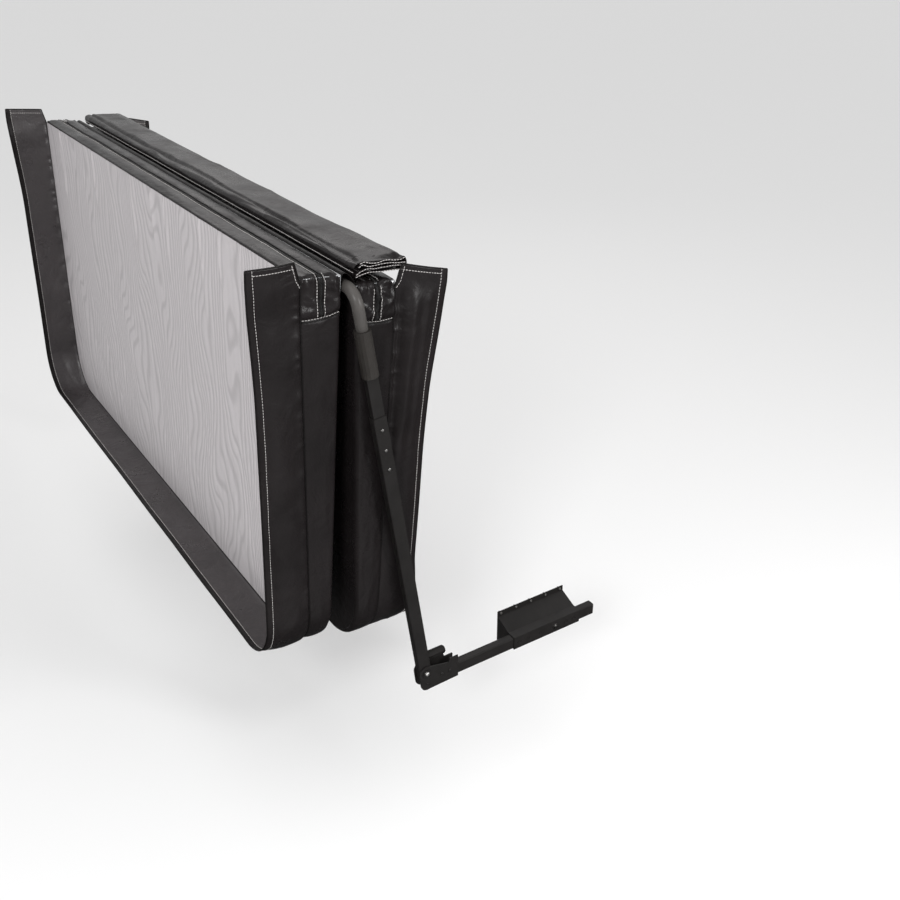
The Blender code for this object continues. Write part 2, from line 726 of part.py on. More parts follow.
def channel_mesh(setback):
    """A steel channel over the core's hinge edge."""
    gap = JACKET_WALL + CLEARANCE
    web = setback + gap
    tips = web + CHANNEL_FLANGE
    top = TOP_GAP_HALF + gap
    low_tip = liner_plane(tips, setback) - gap
    low_web = liner_plane(web, setback) - gap
    wall = CHANNEL_WALL
    outline = [(top, -tips), (top, -web), (low_web, -web), (low_tip, -tips),
               (low_tip - wall, -tips), (low_web - wall, -(web + wall)),
               (top + wall, -(web + wall)), (top + wall, -tips)]
    half = HALF_LENGTH - gap
    return extruded([outline], "XZ", -half, half)


def zipper_mesh(setback):
    """A tape along the hinge face that turns down both end faces."""
    half = HALF_LENGTH + CLEARANCE
    hinge = CLEARANCE - setback
    foot = hinge - TAPE_DROP
    route = [(-half, foot), (-half, hinge), (half, hinge), (half, foot)]
    width, middle = TAPE_WIDTH, TOP_GAP_HALF + HINGE_THICKNESS / 2
    tape = bmesh.new()
    rows = [[tape.verts.new((middle + side * width / 2, y, z)) for side in (-1, 1)]
            for y, z in route]
    for first, second in zip(rows, rows[1:]):
        tape.faces.new((first[0], first[1], second[1], second[0]))
    bmesh.ops.recalc_face_normals(tape, faces=tape.faces)
    widest = max(tape.faces, key=lambda f: f.calc_area())
    if widest.normal.z > 0:
        bmesh.ops.reverse_faces(tape, faces=tape.faces)
    mesh = bpy.data.meshes.new("tape")
    tape.to_mesh(mesh)
    tape.free()
    return thickened(mesh, TAPE_THICKNESS)


def build_half(name, frame, setback, skirt_outset, far):
    """One half in its own frame; far is the local Y direction of the cover's far end."""
    part(name + "_foam_core", core_mesh(setback), foam, frame)
    part(name + "_steel_channel", channel_mesh(setback), galvanised, frame)
    part(name + "_jacket", jacket_mesh(setback), vinyl, frame)
    part(name + "_liner", liner_mesh(setback), liner_cloth, frame)
    part(name + "_skirt", skirt_mesh(setback, skirt_outset), stitched_vinyl, frame)
    part(name + "_zipper", zipper_mesh(setback), cap_plastic, frame)
    slider = part(name + "_zipper_slider",
                  extruded([rectangle(0, 0, SLIDER_WIDTH, SLIDER_LENGTH, 0.004)], "XY", 0.0,
                           SLIDER_HEIGHT), zinc, frame)
    tape_top = CLEARANCE - setback + TAPE_THICKNESS
    slider.location = (TOP_GAP_HALF + HINGE_THICKNESS / 2,
                       far * (HALF_LENGTH - SLIDER_FROM_END), tape_top + CLEARANCE)
    pull = rectangle(0, -far * 0.012, PULL_WIDTH, PULL_LENGTH, 0.003)
    unite(slider, extruded([pull], "XY", *PULL_Z))


def hinge_strip_mesh():
    """The cloth hinge over the crossbar, stitched down to both top faces."""
    route = HINGE_CLOTH_ROUTE
    half = HALF_LENGTH - HINGE_CLOTH_INSET
    cloth = bmesh.new()
    rows = [[cloth.verts.new((x, y, -depth)) for y in (-half, half)] for x, depth in route]
    for first, second in zip(rows, rows[1:]):
        cloth.faces.new((first[0], first[1], second[1], second[0]))
    mesh = bpy.data.meshes.new("cloth")
    cloth.to_mesh(mesh)
    cloth.free()
    holder = bpy.data.objects.new("cloth", mesh)
    solid = holder.modifiers.new("wall", "SOLIDIFY")
    solid.thickness = HINGE_CLOTH_WALL
    solid.offset = 0.0
    return take_mesh(holder)


def gusset_mesh():
    """The padded seal that lies over the tub-side hinge face."""
    low_x, high_x = GUSSET_X
    low_z, high_z = GUSSET_Z
    section = rectangle((low_x + high_x) / 2, (low_z + high_z) / 2, high_x - low_x,
                        high_z - low_z, GUSSET_RADIUS)
    half = HALF_LENGTH - GUSSET_INSET
    return extruded([section], "XZ", -half, half)


def build_cover():
    lean = math.radians(ARM_LEAN)
    bar_x = PIVOT_X - ARM_LENGTH * math.sin(lean)
    bar_z = PIVOT_Z + ARM_LENGTH * math.cos(lean)
    tilt = math.radians(TUB_LEAN)
    fold = Vector((bar_x + FOLD_RISE * math.sin(tilt), MIDDLE_Y,
                   bar_z + FOLD_RISE * math.cos(tilt)))
    tub_frame = empty("tub_side_frame", fold, tilt_y=TUB_LEAN)
    # turned about Z after the tilt, so the tilt's sign is reversed
    outer_frame = empty("outer_frame", fold, tilt_y=-OUTER_LEAN, turn_z=180)
    build_half("tub_side", tub_frame, TUB_SETBACK, 0.0, 1)
    build_half("outer", outer_frame, OUTER_SETBACK, SKIRT_WALL + 0.001, -1)
    part("hinge_strip", hinge_strip_mesh(), stitched_vinyl, tub_frame)
    part("hinge_gusset", gusset_mesh(), vinyl, tub_frame)


clear_scene()
build_lift_frame(build_mounts())
build_cover()
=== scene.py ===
import json
from math import cos, pi, radians, sin

import bmesh
import bpy
import numpy as np
from mathutils import Matrix, Vector
from mathutils.kdtree import KDTree


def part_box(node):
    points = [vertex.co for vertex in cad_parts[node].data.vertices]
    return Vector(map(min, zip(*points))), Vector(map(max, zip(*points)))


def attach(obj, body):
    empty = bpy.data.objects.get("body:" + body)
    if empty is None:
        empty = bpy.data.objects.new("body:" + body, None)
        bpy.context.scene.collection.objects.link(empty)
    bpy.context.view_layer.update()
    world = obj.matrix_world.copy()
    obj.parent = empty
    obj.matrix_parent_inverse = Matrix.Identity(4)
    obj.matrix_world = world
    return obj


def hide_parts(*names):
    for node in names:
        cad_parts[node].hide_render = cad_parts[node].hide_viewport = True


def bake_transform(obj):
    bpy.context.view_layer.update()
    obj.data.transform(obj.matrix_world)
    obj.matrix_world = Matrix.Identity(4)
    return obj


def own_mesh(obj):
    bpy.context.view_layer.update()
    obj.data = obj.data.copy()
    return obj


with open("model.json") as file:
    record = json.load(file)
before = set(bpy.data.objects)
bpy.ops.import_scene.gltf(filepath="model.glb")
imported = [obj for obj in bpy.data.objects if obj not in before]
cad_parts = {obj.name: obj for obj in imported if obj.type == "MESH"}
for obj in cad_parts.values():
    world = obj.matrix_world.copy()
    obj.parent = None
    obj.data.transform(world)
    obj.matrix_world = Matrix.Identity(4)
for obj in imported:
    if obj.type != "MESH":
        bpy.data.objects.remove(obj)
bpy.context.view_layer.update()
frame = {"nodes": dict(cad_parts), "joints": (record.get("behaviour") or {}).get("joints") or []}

# ---- the cover's dimensions
LENGTH = 2.13
DEPTH = 1.05
THICK_HINGE = 0.108
THICK_EDGE = 0.062
FREE_RADIUS = 0.15
HINGE_RADIUS = 0.012
TOP_GAP = 0.0175
SKIRT_DROP = 0.12
FLAP = 0.04
MIDDLE_Y = 1.02
LINER_W = TOP_GAP + THICK_HINGE
SLOPE = (THICK_EDGE - THICK_HINGE) / DEPTH
ZIP_T = 0.5

JOINTS = {joint["name"]: joint for joint in frame["joints"]}
FOLD = Vector(JOINTS["fold"]["pos_m"])
PIVOT = Vector(JOINTS["lift"]["pos_m"])
FLOOR_Z = -0.49


class Half:
    """One half of the cover: its name, body, lean and the depth of its hinge face."""

    def __init__(self, name, lean, turned, setback, outset, seed):
        self.name = name
        self.body = name + "_half"
        self.setback = setback
        self.outset = outset
        self.seed = seed
        self.turned = turned
        angle = radians(lean)
        self.c, self.s = cos(angle), sin(angle)

    def place(self, w, v, u):
        """World points from local depth w, run v along the cover and depth u below the fold."""
        side = -1.0 if self.turned else 1.0
        x = FOLD.x + side * w * self.c - u * self.s
        z = FOLD.z - side * w * self.s - u * self.c
        y = MIDDLE_Y + v
        return np.stack(np.broadcast_arrays(x, y, z), axis=-1)

    def direction(self, w, v, u):
        """World direction of a local step."""
        return self.place(w, v, u) - self.place(0.0, 0.0, 0.0)

    def liner_w(self, u):
        """Local depth of the liner at a depth below the fold."""
        return LINER_W + SLOPE * np.maximum(u - self.setback, 0.0)

    def piece(self, suffix, grids, look, slot, *replaces):
        return make(self.name + suffix, grids, look, self.body,
                    [self.name + node for node in replaces])

    def stitching(self, suffix, lines):
        return threads(self.name + suffix, lines, THREAD, self.body, "liner_cloth", **STITCH)


TUB = Half("tub_side", 3.0, False, 0.0365, 0.0, 11)
OUTER = Half("outer", 5.2, True, 0.006, 0.004, 23)


# ---- noise
def noise2(x, y, seed):
    """Smooth value noise from 0 to 1."""
    table = np.random.RandomState(seed).rand(128, 128)
    x, y = np.broadcast_arrays(np.asarray(x, float), np.asarray(y, float))
    x0, y0 = np.floor(x).astype(int), np.floor(y).astype(int)
    fx, fy = x - x0, y - y0
    fx, fy = fx * fx * (3 - 2 * fx), fy * fy * (3 - 2 * fy)
    a, b, c, d = (table[(x0 + i) % 128, (y0 + j) % 128] for j in (0, 1) for i in (0, 1))
    return (a * (1 - fx) + b * fx) * (1 - fy) + (c * (1 - fx) + d * fx) * fy


def cloud(x, y, seed, octaves=3):
    """Layered noise about 0, from about -1 to 1."""
    total, weight, size = 0.0, 1.0, 0.0
    for i in range(octaves):
        total = total + weight * (2 * noise2(x * 2 ** i, y * 2 ** i, seed + i) - 1)
        size += weight
        weight *= 0.5
    return total / size


def ridge(x, y, seed, sharp=2.0):
    """Noise with thin crests at 1 and broad troughs towards 0."""
    return (1 - np.abs(2 * noise2(x, y, seed) - 1)) ** sharp


def bell(x, width):
    return np.exp(-(x / width) ** 2)


def step(x, low, high):
    t = np.clip((x - low) / (high - low), 0.0, 1.0)
    return t * t * (3 - 2 * t)


# ---- mesh helpers
def placed(name, data):
    """A new object in the scene."""
    thing = bpy.data.objects.new(name, data)
    bpy.context.scene.collection.objects.link(thing)
    return thing


def unit(vectors):
    return vectors / np.maximum(np.linalg.norm(vectors, axis=-1, keepdims=True), 1e-12)


def round_steps(count):
    """Equal angles once round a circle."""
    return np.arange(count) * 2 * pi / count


def quarter(count):
    """Equal angles from 0 to 90 degrees."""
    return [radians(90 * i / count) for i in range(count + 1)]


def smoothed(values, times):
    """Averages a row of values with their neighbours, and keeps both ends."""
    for _ in range(times):
        values[1:-1] = (values[:-2] + 2 * values[1:-1] + values[2:]) / 4
    return values


def grid_faces(rows, cols, offset, wrap):
    index = np.arange(rows * cols).reshape(rows, cols) + offset
    after = np.roll(index, -1, 1)
    if not wrap:
        index, after = index[:, :-1], after[:, :-1]
    return np.stack([index[:-1], index[1:], after[1:], after[:-1]], axis=-1).reshape(-1, 4)


def make(name, grids, look, body, replaces=()):
    """One object from grids of points, each (points, wrap) or (points, wrap, "flip")."""
    verts, faces, offset = [], [], 0
    for points, wrap, *flip in grids:
        quads = grid_faces(*points.shape[:2], offset, wrap)
        verts.append(points.reshape(-1, 3))
        faces.append(quads[:, ::-1] if flip else quads)
        offset += len(verts[-1])
    return raw(name, np.concatenate(verts), np.concatenate(faces), look, body, replaces)


def raw(name, verts, faces, look, body, replaces=(), weld=1e-5):
    """One smooth-shaded object that rides on a body."""
    mesh = bpy.data.meshes.new(name)
    mesh.from_pydata(np.asarray(verts).tolist(), [], np.asarray(faces).tolist())
    shape = bmesh.new()
    shape.from_mesh(mesh)
    if weld:
        bmesh.ops.remove_doubles(shape, verts=shape.verts, dist=weld)
    bmesh.ops.dissolve_degenerate(shape, edges=shape.edges, dist=1e-7)
    bmesh.ops.recalc_face_normals(shape, faces=shape.faces)
    shape.to_mesh(mesh)
    shape.free()
    mesh.materials.append(look)
    mesh.shade_smooth()
    thing = placed(name, mesh)
    if body:
        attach(thing, body)
    if replaces:
        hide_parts(*replaces)
    return thing


def closed_sheet(front, normals, thickness):
    """Grids of a sheet's two faces and its four edges."""
    back = front - normals * thickness
    rims = ((front[0], back[0]), (back[-1], front[-1]), (back[:, 0], front[:, 0]),
            (front[:, -1], back[:, -1]))
    return [(front, False), (back, False, "flip")] + [(np.stack(rim), False) for rim in rims]


def surface_normals(points):
    return unit(np.cross(np.gradient(points, axis=0), np.gradient(points, axis=1)))


def axes_along(path, up):
    """Unit vectors ahead, aside and up at each point of a path."""
    ahead = unit(np.gradient(path, axis=0))
    aside = unit(np.cross(up, ahead))
    return ahead, aside, np.cross(ahead, aside)


def resample(path, normals, spacing):
    """Evenly spaced points of a path, and the normals there."""
    steps = np.linalg.norm(np.diff(path, axis=0), axis=1)
    run = np.concatenate([[0.0], np.cumsum(steps)])
    count = max(int(run[-1] / spacing), 1)
    stations = (np.arange(count) + 0.5) * run[-1] / count
    return (np.stack([np.interp(stations, run, values[:, k]) for k in range(3)], -1)
            for values in (path, normals))


STITCH = {"length": 0.0062, "gap": 0.0012, "radius": 0.00085}
COIL = {"length": 0.0022, "gap": 0.001, "radius": 0.0016}
STITCH_RING = 6
STITCH_PROFILE = ((-0.5, 0.25, -0.6), (-0.36, 1.0, 0.1), (0.36, 1.0, 0.1), (0.5, 0.25, -0.6))


def one_stitch(length, radius):
    """Points of a stitch that dips into the cloth at both ends, and its faces."""
    local = [(along * length, fat * radius * cos(angle),
              radius * (lift + fat * sin(angle)))
             for along, fat, lift in STITCH_PROFILE for angle in round_steps(STITCH_RING)]
    sides = grid_faces(len(STITCH_PROFILE), STITCH_RING, 0, True)
    last = len(local) - STITCH_RING
    caps = [[0, 1, 2, 3], [0, 3, 4, 5], [last, last + 3, last + 2, last + 1],
            [last, last + 5, last + 4, last + 3]]
    return np.array(local), np.concatenate([sides, caps])


def threads(name, lines, look, body, slot, length, gap, radius):
    """Rows of stitches: each line is (points, normals) of the cloth under it."""
    local, quads = one_stitch(length, radius)
    verts, faces, offset = [], [], 0
    for path, normal in lines:
        middle, up = resample(path, np.broadcast_to(normal, path.shape), length + gap)
        if len(middle) < 2:
            continue
        ahead, aside, up = axes_along(middle, up)
        points = (middle[:, None] + ahead[:, None] * local[None, :, :1]
                  + aside[:, None] * local[None, :, 1:2] + up[:, None] * local[None, :, 2:3])
        verts.append(points.reshape(-1, 3))
        starts = offset + np.arange(len(middle)) * len(local)
        faces.append((quads[None] + starts[:, None, None]).reshape(-1, 4))
        offset += len(middle) * len(local)
    return raw(name, np.concatenate(verts), np.concatenate(faces), look, body, weld=0)


def rope(path, normals, radius, ring=8):
    """The grid of a round welt along a path, with capped ends."""
    aside, up = axes_along(path, np.broadcast_to(normals, path.shape))[1:]
    angle = round_steps(ring)
    tube = (path[:, None] + aside[:, None] * (radius * np.cos(angle))[None, :, None]
            + up[:, None] * (radius * np.sin(angle))[None, :, None])
    ends = [np.repeat(path[k][None, None], ring, 1) for k in (0, -1)]
    return np.concatenate([ends[0], tube, ends[1]]), True


# ---- materials
class Graph:
    """Adds and links the nodes of one node tree."""

    def __init__(self, owner):
        owner.use_nodes = True
        self.tree = owner.node_tree

    def add(self, kind, inputs=None, **settings):
        node = self.tree.nodes.new("ShaderNode" + kind)
        for key, value in (inputs or {}).items():
            node.inputs[key].default_value = value
        for key, value in settings.items():
            setattr(node, key, value)
        return node

    def link(self, a, b):
        self.tree.links.new(a, b)

    def ranged(self, value, low, high, to_low, to_high):
        node = self.add("MapRange", {"From Min": low, "From Max": high, "To Min": to_low,
                                     "To Max": to_high})
        self.link(value, node.inputs["Value"])
        return node.outputs["Result"]


class Look(Graph):
    """Builds one procedural material."""

    def __init__(self, name, colour, roughness, metallic=0.0, sheen=0.0, specular=0.5):
        self.made = bpy.data.materials.new(name)
        super().__init__(self.made)
        self.colour = colour
        self.shader = self.tree.nodes["Principled BSDF"]
        for key, value in (("Base Color", (*colour, 1)), ("Roughness", roughness),
                           ("Metallic", metallic), ("Sheen Weight", sheen),
                           ("Specular IOR Level", specular)):
            self.shader.inputs[key].default_value = value
        self.where = self.add("TexCoord").outputs["Object"]
        self.height = None

    def textured(self, node, where=None):
        self.link(where or self.where, node.inputs["Vector"])
        return node.outputs

    def stretched(self, scale):
        return self.textured(self.add("Mapping", {"Scale": scale}))["Vector"]

    def noise(self, scale, detail=3.0, rough=0.55, where=None, distortion=0.0):
        node = self.add("TexNoise", {"Scale": scale, "Detail": detail, "Roughness": rough,
                                     "Distortion": distortion})
        return self.textured(node, where)["Fac"]

    def cells(self, scale):
        node = self.add("TexVoronoi", {"Scale": scale}, feature="DISTANCE_TO_EDGE")
        return self.textured(node)["Distance"]

    def waves(self, direction, inputs, where=None):
        node = self.add("TexWave", inputs, wave_type="BANDS", bands_direction=direction)
        return self.textured(node, where)["Fac"]

    def tint(self, value, dark, light, low=0.3, high=0.7):
        """Varies the colour between two shares of it."""
        ramp = self.add("ValToRGB")
        for element, place, share in zip(ramp.color_ramp.elements, (low, high), (dark, light)):
            element.position = place
            element.color = (*(channel * share for channel in self.colour), 1)
        self.link(value, ramp.inputs["Fac"])
        self.link(ramp.outputs["Color"], self.shader.inputs["Base Color"])

    def rough(self, value, low, high):
        self.link(self.ranged(value, 0.3, 0.7, low, high), self.shader.inputs["Roughness"])

    def bump(self, value, distance, strength):
        node = self.add("Bump", {"Strength": strength, "Distance": distance})
        self.link(value, node.inputs["Height"])
        if self.height is not None:
            self.link(self.height, node.inputs["Normal"])
        self.height = node.outputs["Normal"]
        self.link(self.height, self.shader.inputs["Normal"])


def vinyl_look(name, colour, roughness, specular=0.16):
    look = Look(name, colour, roughness, specular=specular)
    look.tint(look.noise(5.0, 4.0), 0.8, 1.3)
    look.rough(look.noise(9.0, 4.0), roughness - 0.09, roughness + 0.11)
    look.bump(look.noise(13.0, 4.0, 0.55, distortion=1.6), 0.0042, 0.6)
    look.bump(look.noise(55.0, 4.0, 0.6), 0.001, 0.5)
    look.bump(look.cells(520.0), 0.00018, 0.6)
    return look.made


def liner_look(name, colour):
    look = Look(name, colour, 0.56, sheen=0.05)
    grain = look.waves("Y", {"Scale": 11.5, "Distortion": 46.0, "Detail": 1.4,
                             "Detail Scale": 0.36}, look.stretched((1.0, 1.0, 0.46)))
    # The tint follows the same waves as the bump. The colour darkens in their hollows as painted
    # shade in the liner's creases, while the bump gives the creases their real relief.
    look.tint(grain, 0.84, 1.03, 0.0, 0.42)
    look.bump(grain, 0.0022, 0.6)
    look.bump(look.noise(60.0, 4.0, 0.6, look.stretched((1.0, 1.0, 0.1))), 0.0012, 0.5)
    look.bump(look.noise(900.0, 2.0), 0.00006, 0.4)
    return look.made


def hard_look(name, colour, roughness, patches, shares, wear, spread, grain, relief, **shader):
    """A hard surface with patches of colour, patches of wear and a fine grain."""
    look = Look(name, colour, roughness, **shader)
    look.tint(look.noise(*patches), *shares)
    look.rough(look.noise(wear), *(roughness + change for change in spread))
    look.bump(look.noise(grain, 2.0), *relief)
    return look.made


def powder_look(name, colour, roughness):
    return hard_look(name, colour, roughness, (14.0, 4.0), (0.85, 1.2), 26.0, (-0.07, 0.08),
                     1100.0, (0.00007, 0.7), specular=0.2)


def metal_look(name, colour, roughness):
    return hard_look(name, colour, roughness, (120.0,), (0.82, 1.05), 260.0, (-0.06, 0.12),
                     1500.0, (0.00003, 0.4), metallic=1.0)


def moulded_look(name, colour, roughness):
    return hard_look(name, colour, roughness, (22.0,), (0.85, 1.2), 40.0, (-0.06, 0.08),
                     1400.0, (0.00006, 0.6), specular=0.2)


def woven_look(name, colour):
    look = Look(name, colour, 0.8, sheen=0.15)
    look.tint(look.noise(180.0), 0.75, 1.35)
    look.bump(look.waves("DIAGONAL", {"Scale": 420.0}), 0.0002, 0.7)
    return look.made


VINYL = vinyl_look("marine_vinyl", (0.0096, 0.008, 0.0082), 0.29)
SKIRT_VINYL = vinyl_look("skirt_vinyl", (0.0105, 0.0088, 0.009), 0.33)
SKIRT_BACK = vinyl_look("skirt_backing", (0.042, 0.037, 0.038), 0.31, specular=0.5)
BINDING = vinyl_look("binding_vinyl", (0.006, 0.005, 0.005), 0.42)
LINER = liner_look("liner_sheet", (0.485, 0.46, 0.47))
THREAD = woven_look("grey_thread", (0.42, 0.4, 0.39))
TAPE = woven_look("zipper_tape", (0.006, 0.006, 0.006))
POWDER = powder_look("powder_coated_steel", (0.012, 0.011, 0.0106), 0.38)
BEND_LOOK = powder_look("crossbar_paint", (0.06, 0.056, 0.053), 0.36)
ZINC = metal_look("zinc_plate", (0.86, 0.85, 0.83), 0.24)
DULL = metal_look("dull_zinc", (0.24, 0.235, 0.23), 0.36)
SCREW = metal_look("dark_screw", (0.13, 0.125, 0.12), 0.42)
BLACKENED = metal_look("blackened_steel", (0.075, 0.072, 0.07), 0.36)
NICKEL = metal_look("nickel", (0.42, 0.41, 0.4), 0.3)
GALVANISED = metal_look("galvanised_steel", (0.5, 0.51, 0.52), 0.42)
RUBBER = moulded_look("bumper_rubber", (0.008, 0.007, 0.0065), 0.6)
SLEEVE = moulded_look("sleeve_plastic", (0.0245, 0.022, 0.02), 0.42)
PLASTIC = moulded_look("black_plastic", (0.011, 0.01, 0.0095), 0.46)
FOAM = moulded_look("foam_panel", (0.78, 0.79, 0.8), 0.85)


# ---- jacket
CRUMPLED = 0.15  # depth below the hinge corner that needs a fine mesh
COLUMNS = np.linspace(-1, 1, 260)
TOP_EDGE = 0.009  # how the jacket turns in at the top face
LOW_EDGE = 0.003  # and at the liner


def half_stations(half):
    """Outline of a half: one row for each depth, as its near end, with outward normals."""
    reach = LENGTH / 2
    rows = [(reach - HINGE_RADIUS + HINGE_RADIUS * sin(angle),
             half.setback + HINGE_RADIUS * (1 - cos(angle)), sin(angle),
             -cos(angle)) for angle in quarter(4)]
    first = half.setback + HINGE_RADIUS
    middle = first + CRUMPLED
    last = half.setback + DEPTH - FREE_RADIUS
    for start, end, spacing in ((first, middle, 0.004), (middle, last, 0.011)):
        depths = np.linspace(start, end, int((end - start) / spacing) + 1)[1:]
        rows += [(reach, u, 1.0, 0.0) for u in depths]
    rows += [(reach - FREE_RADIUS + FREE_RADIUS * cos(angle),
              last + FREE_RADIUS * sin(angle), cos(angle), sin(angle))
             for angle in quarter(14)[1:]]
    return np.array(rows)


def inset_rows(half, inset):
    """How far each row of the outline reaches along the cover, and its depth."""
    reach, u, nv, nu = half_stations(half).T
    return reach - nv * inset, u - nu * inset


def ring_of(half, inset):
    """The closed outline inset by a distance: v, u and the outward normal at each station."""
    rows = half_stations(half)
    reach, u, nv, nu = rows.T
    first, last = rows[0], rows[-1]
    v = np.concatenate([COLUMNS * first[0], reach[1:-1], -COLUMNS * last[0], -reach[1:-1][::-1]])
    flat = np.ones(len(COLUMNS))
    depth = np.concatenate([flat * first[1], u[1:-1], flat * last[1], u[1:-1][::-1]])
    normal_v = np.concatenate([flat * 0, nv[1:-1], flat * 0, -nv[1:-1][::-1]])
    normal_u = np.concatenate([flat * -1, nu[1:-1], flat, nu[1:-1][::-1]])
    return v - normal_v * inset, depth - normal_u * inset, normal_v, normal_u


def pocket_seam(half, t):
    """Depth below the hinge corner of the curved seam across each end."""
    sag = 0.004 * np.sin(pi * t)
    if half.turned:
        return 0.099 + sag - 0.013 * (1 - t)
    return 0.088 + sag + 0.006 * t


def zip_wobble(half, v):
    """How far the zipper wanders across the hinge face, as a share of its width."""
    calm = step(LENGTH / 2 - np.abs(v), 0.0, 0.12)
    return 0.034 * cloud(v * 2.4, 0.5, half.seed + 12, 2) * calm


def creases(x, y, seed):
    """Sharp, crossing cloth creases, from 0 in the hollows to 1 on the crests."""
    wx = x + 0.35 * cloud(x * 0.7, y * 0.7, seed + 1, 2)
    wy = y + 0.35 * cloud(x * 0.7 + 9, y * 0.7 + 4, seed + 2, 2)
    first = ridge(wx + wy * 0.6, wy * 0.35 - wx * 0.2, seed + 3, 2.6)
    second = ridge(wx * 0.8 - wy * 0.9 + 5, wy * 0.3 + wx * 0.3, seed + 4, 3.2)
    return np.maximum(first, 0.8 * second)


def side_push(half, v, u, nv, nu, t):
    """How far the padded side stands out along its normal. t runs from top face to liner."""
    deep = u - half.setback
    hinge = np.clip(-nu, 0, 1)
    ends = np.abs(nv)
    side = np.sign(v) * ends
    full = np.sin(pi * np.clip(t, 0, 1))
    span = THICK_HINGE * (t - ZIP_T - zip_wobble(half, v) * hinge)
    upper = 1 - step(deep, 0.072, 0.088)
    groove = -0.0034 * bell(span, 0.0065) * (hinge + ends * upper)
    pads = 0.0026 * np.sin(2 * pi * t) ** 2 * hinge
    seam = pocket_seam(half, t)
    pinch = ends * (-0.0046 * bell(deep - seam, 0.004)
                    + 0.0042 * bell(deep - seam + 0.018, 0.014))
    fold = creases(deep * 21 + side * 3, t * 2.1 + side, half.seed) - 0.35
    crumple = ends * 0.02 * fold * bell(deep - 0.04, 0.046) * full ** 0.5
    tuck = creases(deep * 60, t * 5.5, half.seed + 5) - 0.4
    small = ends * 0.0036 * tuck * upper * full ** 0.5
    panel = ends * step(deep, 0.1, 0.16)
    below = panel * (0.003 * cloud(deep * 5, t * 1.6 + v, half.seed + 4)
                     + 0.0016 * creases(deep * 4.5, t * 1.4, half.seed + 9))
    soft = 0.0026 * cloud(v * 5, deep * 5 + t * 2.5, half.seed + 7) * hinge * full ** 0.5
    grooves = 0.0011 * (creases(v * 8, t * 2.6, half.seed + 14) - 0.4) * hinge * full ** 0.5
    return (0.003 * full ** 0.7 + groove + pads + pinch + crumple + small + below + soft
            + grooves)


def corner_dent(half, v, u, t):
    """Extra pinching where the hinge face meets each end, pulled in along both."""
    near = bell((LENGTH / 2 - np.abs(v)) / 1.0, 0.03) * bell(u - half.setback, 0.03)
    gather = creases(t * 4.2, np.sign(v) * 2.0 + 0 * t, half.seed + 17)
    return near * 0.0065 * (gather - 0.5)


def jacket_sides(half):
    """Rings from the top face, over the padded side, to just under the liner's edge."""
    rings = [(TOP_EDGE * (1 - sin(angle)), 0.0, TOP_EDGE * (1 - cos(angle)))
             for angle in quarter(4)]
    rings += [(0.0, share, TOP_EDGE - share * (TOP_EDGE + LOW_EDGE))
              for share in np.linspace(0, 1, 27)[1:-1]]
    rings += [(LOW_EDGE * (1 - cos(angle)), 1.0, -LOW_EDGE * (1 - sin(angle)))
              for angle in quarter(3)]
    rings += [(0.012, 1.0, -0.0004), (0.014, 1.0, -0.0035)]
    grid = []
    for inset, share, offset in rings:
        v, u, nv, nu = ring_of(half, inset)
        span = half.liner_w(u) - TOP_GAP
        w = TOP_GAP + share * span + offset
        t = (w - TOP_GAP) / span
        fade = np.clip(1 - inset / 0.01, 0, 1)
        push = side_push(half, v, u, nv, nu, t) * fade
        dent = corner_dent(half, v, u, t) * fade
        grid.append(half.place(w, v + nv * push + np.sign(v) * dent, u + nu * push - dent))
    return np.stack(grid)


def rim_fade(*distances):
    """1 inside a sheet, falling to 0 at its rim, from scaled distances to its edges."""
    return np.clip(np.minimum.reduce(np.broadcast_arrays(*distances)), 0, 1)


def jacket_top(half):
    v0, u0 = inset_rows(half, TOP_EDGE)
    across = v0[:, None] * COLUMNS
    depth = np.repeat(u0[:, None], len(COLUMNS), 1)
    rim = rim_fade((1 - np.abs(COLUMNS)) * 12, (depth - u0[0]) * 14, (u0[-1] - depth) * 14)
    swell = (-0.0018 - 0.0014 * cloud(across * 3, depth * 3, half.seed + 31)
             - 0.0016 * creases(across * 4, depth * 2.5, half.seed + 33)) * rim
    return half.place(TOP_GAP + swell, across, depth)


def jacket(half):
    grids = [(jacket_sides(half), True), (jacket_top(half), False)]
    half.piece("_jacket_cover", grids, VINYL, "cover_vinyl", "_jacket")


CORNER = 0.011  # of the hinge face's ends, where the zipper turns down


def end_points(half, sign, deep, t, lift):
    """Points on an end face at a depth below the hinge corner."""
    deep, t = np.broadcast_arrays(np.asarray(deep, float), np.asarray(t, float))
    u = half.setback + deep
    v = np.full_like(u, sign * LENGTH / 2)
    nv = np.full_like(u, float(sign))
    push = side_push(half, v, u, nv, np.zeros_like(u), t) + lift
    w = TOP_GAP + t * (half.liner_w(u) - TOP_GAP)
    return half.place(w, v + sign * push, u)


def hinge_points(half, v, t, lift):
    """Points on the hinge face."""
    v, t = np.broadcast_arrays(np.asarray(v, float), np.asarray(t, float))
    u = np.full_like(v, half.setback)
    push = side_push(half, v, u, np.zeros_like(v), -np.ones_like(v), t) + lift
    w = TOP_GAP + t * THICK_HINGE
    return half.place(w, v, u - push)


